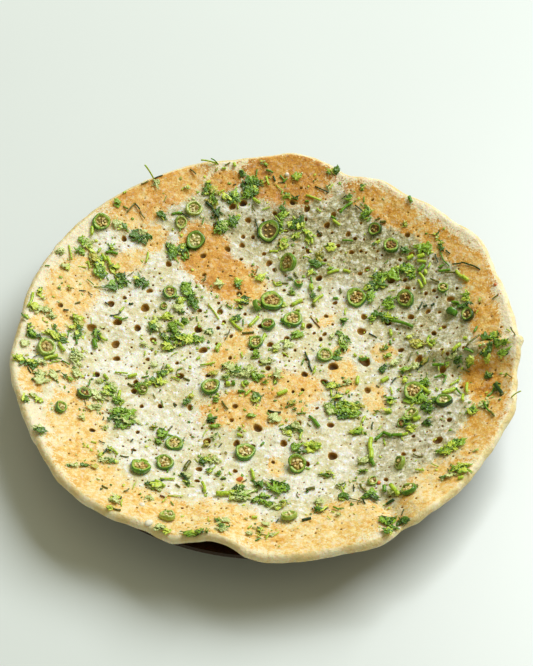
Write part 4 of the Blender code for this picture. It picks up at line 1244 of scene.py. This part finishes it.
def pit_rings(places, draw):
    """The points of all the pits: x, y, drop, and brown with painted shade."""
    rows = []
    for x, y, radius, depth, section, spokes in places:
        angles = turns(spokes) + draw.uniform(0, 1)
        stretch = draw.uniform(*PIT_STRETCH)
        heading = draw.uniform(0, math.pi)
        waves = (size * np.sin(count * angles + draw.uniform(0, PHASE)) for count, size in PIT_WOBBLE)
        border = sum(waves, 1)
        brown_and_shade = draw.uniform(*PIT_BROWN_AND_SHADE)
        # The brown of each ring is browned batter together with painted shade towards the bottom.
        for share, drop, brown in section:
            along = radius * share * border * np.cos(angles) * stretch
            across = radius * share * border * np.sin(angles) / stretch
            row_x, row_y = shifted(x, y, along, across, heading)
            kept = np.full((spokes, 2), (drop * depth, brown * brown_and_shade))
            rows.append(np.column_stack((row_x, row_y, kept)))
        rows.append(np.array([[x, y, section[-1][1] * depth, section[-1][2] * brown_and_shade]]))
    return np.vstack(rows)


def hex_grid(step, shrink):
    """Points of a triangular grid inside the rim, drawn in to a share of it."""
    count = int(RIM_RADIUS * GRID_MARGIN / step) + 1
    column, row = np.meshgrid(np.arange(-count, count + 1), np.arange(-count, count + 1))
    x = (column + 0.5 * (row % 2)).ravel() * step
    y = (row * GRID_ROW).ravel() * step
    inside = rim_share(x, y) < shrink
    return x[inside], y[inside]


def away_from(x, y, places):
    """True for the points outside every pit."""
    free = np.ones(len(x), bool)
    for pit_x, pit_y, radius, _, section, _ in places:
        reach = radius * section[0][0] * PIT_CLEARANCE[0] + PIT_CLEARANCE[1]
        free &= (x - pit_x) ** 2 + (y - pit_y) ** 2 > reach**2
    return free


def triangles_of(x, y, rim_count):
    """A Delaunay mesh whose border is the closed ring of its first points, and the points it came from."""
    points = [Vector((u, v)) for u, v in zip(x / MM, y / MM)]
    border = list(range(rim_count))
    made = delaunay_2d_cdt(points, [], [border], INSIDE_ONLY, MERGE_REACH)
    _, _, faces, sources, _, _ = made
    return faces, np.array([source[0] for source in sources])


def ring_xy(share):
    """Points round the rim, drawn in to a share of its radius."""
    turn = turns(RIM_POINTS)
    radius = share * rim_at(turn)[0]
    return radius * np.cos(turn), radius * np.sin(turn)


def level(x, y):
    """Rows of x and y with no drop and no brownness."""
    return np.column_stack((x, y, np.zeros((len(x), 2))))


def stain_share(points, spots):
    """How near each point is to the toppings, from 0 to 1."""
    stain = np.zeros(len(points))
    for x, y in spots:
        distance = (points[:, 0] - x) ** 2 + (points[:, 1] - y) ** 2
        near = distance < (STAIN_LIMIT * STAIN_REACH) ** 2
        stain[near] = np.maximum(stain[near], np.exp(-distance[near] / STAIN_REACH**2))
    return stain


def upper_face(draw):
    """The pitted upper face: points, faces, how much of a pit each point is, and the rim's point numbers."""
    places = pit_places(draw)
    parts = [level(*ring_xy(share)) for share in (1.0, *RIM_INSETS)]
    x, y = hex_grid(GRID_STEP, RIM_INSETS[-1] - GRID_GAP)
    free = away_from(x, y, places)
    parts += [level(x[free], y[free]), pit_rings(places, draw)]
    given = np.vstack(parts)
    faces, source = triangles_of(given[:, 0], given[:, 1], RIM_POINTS)
    x, y, drop, pit = given[source].T
    layers = enumerate(RELIEF)
    relief = sum(height * grain(x, y, size, RELIEF_SHIFT * index) for index, (height, size) in layers)
    inner = 1 - smooth(*RELIEF_FADE, rim_share(x, y))
    points = np.column_stack((x, y, top_height(x, y) + relief * inner - drop))
    rim = np.argsort(source)[:RIM_POINTS]
    return points, faces, pit, rim


def add_lip(heap, rim, rim_x, rim_y):
    """The rounded lip, from the upper face's rim down to the lower one. Gives the last ring's numbers."""
    fray = grain(rim_x, rim_y, FRAY_SIZE, FRAY_SHIFT)
    high, low = top_height(rim_x, rim_y), under_height(rim_x, rim_y)
    reach = (high - low) / 2
    for tilt in LIP_TILTS:
        angle = math.radians(tilt)
        radius = np.hypot(rim_x, rim_y) + (reach + RIM_FRAY * fray) * math.cos(angle)
        ring = ring_points(radius, turns(RIM_POINTS), (high + low) / 2 + reach * math.sin(angle))
        numbers = np.append(rim, heap.count + np.arange(RIM_POINTS))
        heap.add(ring, [], lip=1.0, under=float(smooth(*UNDER_FADE, tilt)))
        heap.own_faces([tuple(numbers[list(face)]) for face in band(0, RIM_POINTS, RIM_POINTS)])
        rim = numbers[RIM_POINTS:]
    return rim


def add_underside(heap, rim, rim_x, rim_y):
    """The lower face, joined to the lip's last ring."""
    grid = hex_grid(UNDER_GRID_STEP, UNDER_GRID_SHARE)
    x, y = (np.concatenate(pair) for pair in zip((rim_x, rim_y), grid))
    faces, source = triangles_of(x, y, RIM_POINTS)
    x, y = x[source], y[source]
    numbers = heap.count + np.arange(len(x))
    on_rim = source < RIM_POINTS
    numbers[on_rim] = rim[source[on_rim]]
    heap.add(np.column_stack((x, y, under_height(x, y))), [], lip=1.0, under=1.0)
    heap.own_faces([tuple(numbers[index] for index in reversed(face)) for face in faces])


def pancake(draw, spots):
    """The pancake: pitted upper face, rounded lip and browned underside."""
    points, faces, pit, rim = upper_face(draw)
    heap = Heap("pit", "lip", "under")
    lip = LIP_START * smooth(*LIP_FADE, rim_share(points[:, 0], points[:, 1]))
    heap.add(points, faces, pit=pit, lip=lip)
    rim_x, rim_y = ring_xy(1.0)
    rim = add_lip(heap, rim, rim_x, rim_y)
    add_underside(heap, rim, rim_x, rim_y)
    joined = np.concatenate(heap.points)
    for name, zones in (("brown", PATCHES), ("fried", FRIED_ZONES), ("damp_and_shade", DAMP_AND_SHADE_ZONES)):
        heap.values[name] = [zone_share(joined, zones)]
    heap.values["stain"] = [stain_share(joined, spots)]
    made = heap.make("pancake", [batter_look()])
    tidy_loose(made)
    belong(made, "batter", "uttapam")


def tidy_loose(piece):
    """Removes points that no face uses and turns all faces outwards."""
    bm = bmesh.new()
    bm.from_mesh(piece.data)
    loose = [vert for vert in bm.verts if not vert.link_faces]
    bmesh.ops.delete(bm, geom=loose, context="VERTS")
    bmesh.ops.recalc_face_normals(bm, faces=bm.faces)
    bm.to_mesh(piece.data)
    bm.free()


def leaf_piece(heap, shape, x, y, turn, length, width, lift, tone, draw):
    """One torn and crumpled piece of leaf, lying on the face at x, y."""
    spokes, rings = shape
    angles = turns(spokes)
    lobes = int(draw.integers(*LEAF_LOBES))
    round_lobes = np.abs(np.sin(lobes * angles / 2 + draw.uniform(0, PHASE / 2))) ** LEAF_ROUNDING
    outline = (LEAF_NOTCH + (1 - LEAF_NOTCH) * round_lobes) * draw.uniform(*LEAF_RAGGED, spokes)
    # The middle and the rings round it.
    shares = np.append(0.0, np.repeat(rings, spokes))
    around = np.append(0.0, np.tile(angles, len(rings)))
    reach = shares * np.append(0.0, np.tile(outline, len(rings)))
    u = length / 2 * reach * np.cos(around)
    v = width / 2 * reach * np.sin(around)
    spot_x, spot_y = shifted(x, y, u, v, turn)
    crumple = np.abs(grain(u, v, LEAF_GRAIN, draw.uniform(0, LEAF_GRAIN_SHIFT)))
    ruffle = shares**2 * np.sin(lobes * around + draw.uniform(0, PHASE))
    slope = draw.uniform(*LEAF_CURL) * np.abs(v) + draw.uniform(*LEAF_SLOPE) * u
    size = min(1.0, length / LEAF_PIECE[1])
    height = np.maximum(0.0, (LEAF_CRUMPLE * crumple + LEAF_RUFFLE * ruffle) * size + slope)
    z = top_height(spot_x, spot_y) + lift + height
    rib = np.exp(-((v / LEAF_RIB) ** 2)) * draw.uniform(*LEAF_RIB_SHARE)
    # The upper side's rings from the middle out, the lower side's back in, then both middles.
    outwards = np.arange(1, len(z)).reshape(-1, spokes)
    picked = np.concatenate((outwards.ravel(), outwards[::-1].ravel(), (0, 0)))
    points = np.column_stack((spot_x, spot_y, z))[picked]
    points[:, 2] += np.repeat((LEAF_FILM, 0, LEAF_FILM, 0), (outwards.size, outwards.size, 1, 1))
    faces = flipped(skin_faces(2 * len(rings), spokes))
    heap.add(points, faces, tone=tone / (TONE_COUNT - 1), tint=draw.uniform(0, 1), rib=rib[picked])


def leaf_patch(heap, shape, x, y, length, width, turn, tones, draw):
    """Pieces of leaf that fill an ellipse on the face, most of them in the first tone."""
    size = min(max(min(length, width), LEAF_PIECE[0]), LEAF_PIECE[1])
    count = max(1, round(LEAF_COVER * length * width / size**2))
    for index in range(count):
        angle = draw.uniform(0, 2 * math.pi)
        away = math.sqrt(draw.uniform(0, 1)) * (LEAF_FILL if count > 1 else 0.0)
        u = max(0.0, length - size / 2) / 2 * away * math.cos(angle)
        v = max(0.0, width - size / 2) / 2 * away * math.sin(angle)
        spot = shifted(x, y, u, v, turn)
        lengths, slimness = THIN_SHRED if draw.uniform() < LEAF_SHREDS else BROAD_BLADE
        own = size * draw.uniform(*lengths)
        own_width = own * draw.uniform(*slimness)
        tone = draw.choice((*tones, DARK, BRIGHT), p=LEAF_MIX)
        lift = LEAF_LIFT + LEAF_LAYER * (index % LEAF_LAYERS)
        leaf_piece(heap, shape, *spot, turn + draw.normal(0, LEAF_TURN), own, own_width, lift, tone, draw)


def node_points(name):
    """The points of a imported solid."""
    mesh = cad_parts[name].data
    points = np.zeros(len(mesh.vertices) * 3)
    mesh.vertices.foreach_get("co", points)
    return points.reshape(-1, 3)


def nodes_named(start):
    """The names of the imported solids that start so, in order."""
    return sorted(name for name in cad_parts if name.startswith(start))


def principal_axes(points):
    """The middle and the directions of a cloud of points, from its thinnest to its longest."""
    middle = (points.min(0) + points.max(0)) / 2
    return middle, np.linalg.eigh(np.cov((points - points.mean(0)).T))[1].T


def large_leaves(draw, look):
    """A clump of leaf for each leaf solid."""
    for name, tones in zip(nodes_named("leaf_"), LEAF_NODE_TONES):
        points = node_points(name)
        middle, axes = principal_axes(points[:, :2])
        spread = (points[:, :2] - middle) @ axes.T
        width, length = spread.max(0) - spread.min(0)
        heap = Heap("tone", "tint", "rib")
        turn = math.atan2(axes[1][1], axes[1][0])
        leaf_patch(heap, LEAF_SHAPE, middle[0], middle[1], length, width, turn, tones, draw)
        belong(heap.make(name.replace("leaf", "coriander"), [look]), "coriander", name)


def near_scrap(draw):
    """A place a little away from one of the small bits of leaf."""
    px, py = SCRAPS[draw.integers(len(SCRAPS))][:2]
    return np.array(landed(px, py)) + draw.normal(0, CRUMB_SPREAD, 2)


def small_leaves(draw, look):
    """The smaller clumps and the crumbs of leaf round them."""
    heap = Heap("tone", "tint", "rib")
    foreshort = 1 / math.sin(CAMERA_ELEVATION)
    for px, py, width, height, tone in SCRAPS:
        x, y = landed(px, py)
        second = PALED if tone == PALED else int(draw.integers(0, PALED))
        across, along = SCRAP_GAIN * width * PIXEL, SCRAP_GAIN * height * PIXEL * foreshort
        leaf_patch(heap, SCRAP_SHAPE, x, y, across, along, 0.0, (tone, second), draw)
    for _ in range(CRUMB_COUNT):
        x, y = near_scrap(draw)
        if rim_share(x, y) > CRUMB_LIMIT:
            continue
        size = draw.uniform(*CRUMB_SIZE)
        tone = int(draw.choice(CRUMB_TONES))
        turn = draw.uniform(0, math.pi)
        width = size * draw.uniform(*CRUMB_SLIMNESS)
        leaf_piece(heap, CRUMB_SHAPE, x, y, turn, size, width, CRUMB_LIFT, tone, draw)
    belong(heap.make("leaf_flakes", [look]), "coriander", "uttapam")


def chilli_slices(draw, looks):
    """A slice for each chilli solid."""
    for name in nodes_named("chilli_"):
        points = node_points(name)
        middle, axes = principal_axes(points)
        normal = axes[0] if axes[0][2] > 0 else -axes[0]
        slice_axes = np.array((axes[2], np.cross(normal, axes[2]), normal))
        local = (points - middle) @ slice_axes.T
        radius = np.hypot(local[:, 0], local[:, 1]).max()
        low = local[:, 2].min()
        base = middle + normal * low - np.array((0, 0, CHILLI_SINK))
        heap = Heap("tone")
        tones = CHILLI_TONES.get(name[-2:], USUAL_CHILLI)
        add_slice(heap, base, slice_axes, radius, local[:, 2].max() - low, tones, draw)
        belong(heap.make(name.replace("chilli", "chilli_slice"), looks), "chilli", name)


def chilli_bits(draw, looks):
    """The small slices that aren't solids of their own."""
    heap = Heap("tone")
    for px, py, diameter, lean, skin, filling in CHILLI_BITS:
        x, y = landed(px, py)
        radius = diameter * PIXEL / 2
        heading = draw.uniform(0, 2 * math.pi)
        steepness = 1 / math.tan(math.radians(max(lean, BIT_LEAST_LEAN)))
        normal = np.array((math.cos(heading), math.sin(heading), steepness))
        normal /= np.linalg.norm(normal)
        side = np.cross(normal, (0.0, 0.0, 1.0))
        side /= np.linalg.norm(side)
        slice_axes = np.array((side, np.cross(normal, side), normal))
        raised = radius * math.sin(math.radians(lean)) * BIT_RAISE
        base = np.array((x, y, height_at(x, y) + raised - BIT_SINK))
        add_slice(heap, base, slice_axes, radius, radius * BIT_HEIGHT, (skin, filling, BIT_SEEDS), draw)
    belong(heap.make("chilli_bits", looks), "chilli", "uttapam")


def wobble(angles, size, draw):
    """A closed wobble about 1."""
    waves = (size / count * np.sin(count * angles + draw.uniform(0, PHASE)) for count in WOBBLE_WAVES)
    return 1 + sum(waves)


def add_slice(heap, base, axes, radius, height, tones, draw):
    """A slice about its axis: skin, cut wall, and a hollow with a core and seeds."""
    skin, filling, seeds = tones
    angles = turns(CHILLI_SIDES)
    outer, inner, tilt = (wobble(angles, size, draw) for size in CHILLI_WOBBLE)
    outer, inner = outer * CHILLI_BORDERS[0], inner * CHILLI_BORDERS[1]
    rows = []
    looks = []
    for index, (share, rise, look) in enumerate(CHILLI_SECTION):
        border = outer if index < CHILLI_WALL_START else np.minimum(outer * CHILLI_WALL_LIMIT, inner)
        rows.append(ring_points(radius * share * border, angles, rise * height * tilt))
        looks.append(look)
    looks.insert(-1, SKIN)
    rows.append(np.array([[0, 0, 0], [0, 0, CHILLI_CORE * height]]))
    points = base + np.concatenate(rows) @ axes
    tone = np.full(len(points), filling)
    tone[: CHILLI_WALL_START * CHILLI_SIDES] = skin
    tone[-2] = skin
    faces = skin_faces(len(CHILLI_SECTION), CHILLI_SIDES)
    heap.add(points, faces, np.repeat(looks, CHILLI_SIDES), tone=tone)
    count = max(2, round(seeds * SEED_CROWD * (radius / MM) ** 2))
    for index in range(count):
        angle = SEED_TURN * index + draw.uniform(*SEED_SWERVE)
        away = SEED_SPREAD * radius * math.sqrt((index + SEED_START) / count)
        rise = height * draw.uniform(*SEED_RISE)
        centre = base + np.array((away * math.cos(angle), away * math.sin(angle), rise)) @ axes
        colour = min(1.0, max(0.0, filling + draw.normal(0, SEED_TONE_SPREAD)))
        half_sizes = np.array(SEED_SIZE) * draw.uniform(*SEED_SCALE)
        add_lump(heap, centre, half_sizes, SEED_MESH, SEEDS, colour, draw)


def add_lump(heap, centre, half_sizes, fineness, look, tone, draw):
    """A rounded lump such as a seed, turned at random."""
    rings, sides = fineness
    rows = []
    for ring in range(1, rings):
        polar = math.pi * ring / rings
        flat = math.sin(polar) * draw.uniform(*LUMP_GIRTH)
        rows.append(ring_points(flat, turns(sides), math.cos(polar)))
    rows.append(np.array([[0, 0, 1.0], [0, 0, -1.0]]))
    points = centre + (np.concatenate(rows) * half_sizes) @ random_turn(draw)
    heap.add(points, flipped(skin_faces(rings - 1, sides)), look, tone=tone)


def random_turn(draw):
    """A rotation matrix, mostly lying flat."""
    heading = draw.uniform(0, 2 * math.pi)
    tip = draw.normal(0, LUMP_TIP)
    ahead, aside = math.cos(heading), math.sin(heading)
    spin = np.array(((ahead, aside, 0), (-aside, ahead, 0), (0, 0, 1)))
    lean = np.array(((1, 0, 0), (0, math.cos(tip), math.sin(tip)), (0, -math.sin(tip), math.cos(tip))))
    return lean @ spin


def odd_bits(draw):
    """Small bits of red chilli and bare lumps of batter; one near white lump is a painted highlight."""
    looks = [
        bit_look("red_bit", (196, 84, 26), (232, 138, 60)),
        bit_look("batter_and_glint_bit", (240, 232, 200), (250, 246, 228)),
    ]
    heap = Heap()
    for px, py, width, height, kind in ODD_BITS:
        x, y = landed(px, py)
        half_sizes = np.array((width * PIXEL / 2, height * PIXEL / 2, ODD_HALF_HEIGHT))
        centre = np.array((x, y, height_at(x, y) + ODD_LIFT))
        add_lump(heap, centre, half_sizes, ODD_MESH, ("red", "white").index(kind), 0.0, draw)
    belong(heap.make("odd_bits", looks), "chilli", "uttapam")


def tube(heap, path, radius, tone):
    """A round bar along a path of points, with pale cut ends."""
    along = np.gradient(path, axis=0)
    along /= np.linalg.norm(along, axis=1)[:, None]
    side = np.cross(along, (0.0, 0.0, 1.0))
    side /= np.maximum(LEAST_LENGTH, np.linalg.norm(side, axis=1))[:, None]
    up = np.cross(side, along)
    angles = turns(STEM_SIDES)[:, None]
    rings = [
        spot + radius * (np.cos(angles) * aside + np.sin(angles) * above)
        for spot, aside, above in zip(path, side, up)
    ]
    points = np.concatenate((*rings, path[:1], path[-1:]))
    end = np.zeros(len(points))
    end[-2:] = 1.0
    heap.add(points, skin_faces(len(path), STEM_SIDES), tone=tone / (TONE_COUNT - 1), end=end)


def stem_between(heap, x0, y0, x1, y1, radius, tone, draw):
    """A stem lying on the face between two places."""
    steps = np.linspace(0, 1, STEM_STEPS)
    length = math.hypot(x1 - x0, y1 - y0)
    bow = draw.normal(0, STEM_SWAY) * np.sin(math.pi * steps)
    x = x0 + (x1 - x0) * steps - bow * (y1 - y0)
    y = y0 + (y1 - y0) * steps + bow * (x1 - x0)
    lie = (top_height(x, y).max() + top_height(x, y)) / 2
    z = lie + radius * STEM_REST + draw.uniform(*STEM_TILT) * min(length, STEM_TILT_REACH)
    tube(heap, np.column_stack((x, y, z)), radius, tone)


def stems(draw, look):
    """The cut stems, finer shreds near the leaves, and the sprigs that stand over the rim."""
    heap = Heap("tone", "end")
    for x0, y0, x1, y1, width, tone in STEMS:
        stem_between(heap, *landed(x0, y0), *landed(x1, y1), STEM_GAIN * width * PIXEL / 2, tone, draw)
    for _ in range(SHRED_COUNT):
        x, y = near_scrap(draw)
        turn = draw.uniform(0, math.pi)
        half = draw.uniform(*SHRED_LENGTH) / 2
        u, v = half * math.cos(turn), half * math.sin(turn)
        tone = int(draw.choice(SHRED_TONES))
        radius = draw.uniform(*SHRED_RADIUS)
        if rim_share(x, y) < SHRED_LIMIT:
            stem_between(heap, x - u, y - v, x + u, y + v, radius, tone, draw)
    for foot_x, foot_y, tip_x, tip_y, width, tone in SPRIGS:
        x, y = landed(foot_x, foot_y)
        foot = np.array((x, y, height_at(x, y)))
        tip = on_ray(tip_x, tip_y, y)
        steps = np.linspace(0, 1, STEM_STEPS)[:, None]
        path = foot + (tip - foot) * steps + np.array((0, 0, SPRIG_BOW)) * np.sin(math.pi * steps)
        tube(heap, path, width * PIXEL / 2, tone)
    belong(heap.make("stem_bits", [look]), "coriander", "uttapam")


def plate_section():
    """The plate's outline: from the foot's middle out, over the rim and back to the well's middle."""
    outer = [(0, 0), (FOOT_RADIUS, 0), (FOOT_RADIUS + FOOT_CURVE_HEIGHT, FOOT_CURVE_HEIGHT)]
    inner = []
    for share in PLATE_WALL_SHARES:
        radius = WELL_RADIUS + share * (PLATE_RADIUS - WELL_RADIUS)
        inner.append((radius, float(WELL_FLOOR + dish_height(radius))))
        if share > PLATE_WALL_SHARES[0]:
            wall = PLATE_WALL + share * (PLATE_EDGE - PLATE_WALL)
            outer.append((radius + PLATE_LEAN * wall, inner[-1][1] - wall))
    rim_top = float(WELL_FLOOR + dish_height(PLATE_RADIUS))
    for inwards, down in PLATE_ROUNDING:
        outer.append((PLATE_RADIUS - inwards * PLATE_EDGE, rim_top - down * PLATE_EDGE))
    return [*outer, *reversed(inner), (WELL_RADIUS, WELL_FLOOR), (0, WELL_FLOOR)]


def plate(look):
    """The plate, turned about its axis."""
    section = plate_section()
    rings = [ring_points(radius, turns(PLATE_SEGMENTS), height) for radius, height in section[1:-1]]
    middles = np.array([[0, 0, section[0][1]], [0, 0, section[-1][1]]])
    points = np.concatenate((*rings, middles))
    piece = add_mesh("coupe_plate", points, skin_faces(len(rings), PLATE_SEGMENTS), [look])
    piece.data.set_sharp_from_angle(angle=PLATE_SHARP_FROM)
    belong(piece, "plate_glaze", "plate")


def studio():
    """The floor, the light and the camera."""
    corners = [(-1, -1, 0), (1, -1, 0), (1, 1, 0), (-1, 1, 0)]
    floor = add_mesh("table_top", np.array(corners) * FLOOR_HALF, [(0, 1, 2, 3)], [floor_look()])

    world = bpy.data.worlds.new("studio")
    bpy.context.scene.world = world
    world.use_nodes = True
    background = world.node_tree.nodes["Background"]
    background.inputs["Color"].default_value = (*FILL_COLOUR, 1)
    background.inputs["Strength"].default_value = FILL_STRENGTH

    light = bpy.data.lights.new("window", "AREA")
    light.shape = "RECTANGLE"
    light.size, light.size_y = KEY_SIZE
    light.energy = KEY_POWER
    light.color = KEY_COLOUR
    window = placed("window", light)
    away = math.cos(KEY_ELEVATION)
    towards = Vector((away * math.cos(KEY_AZIMUTH), away * math.sin(KEY_AZIMUTH), math.sin(KEY_ELEVATION)))
    window.location = KEY_DISTANCE * towards
    window.rotation_euler = (-towards).to_track_quat("-Z", "Y").to_euler()

    lens = bpy.data.cameras.new("camera")
    lens.lens = CAMERA_LENS
    lens.sensor_width = SENSOR_SIDE
    camera = placed("camera", lens)
    camera.location = CAMERA_PLACE.tolist()
    camera.rotation_euler = (math.pi / 2 - CAMERA_ELEVATION, 0, 0)
    bpy.context.scene.camera = camera
    bpy.context.scene.view_settings.view_transform = "Standard"


def main():
    """Builds every piece. The random draws follow one another, so their order counts."""
    draw = np.random.default_rng(SEED)
    spots = [landed(*row[:2]) for row in SCRAPS + CHILLI_BITS]
    spots += [tuple(node_points(name).mean(0)[:2]) for name in nodes_named("leaf_") + nodes_named("chilli_")]
    pancake(draw, spots)
    plate(glaze_look())
    leaf = leaf_look()
    large_leaves(draw, leaf)
    small_leaves(draw, leaf)
    stems(draw, stem_look())
    chilli = chilli_looks()
    chilli_slices(draw, chilli)
    chilli_bits(draw, chilli)
    odd_bits(draw)
    studio()


main()
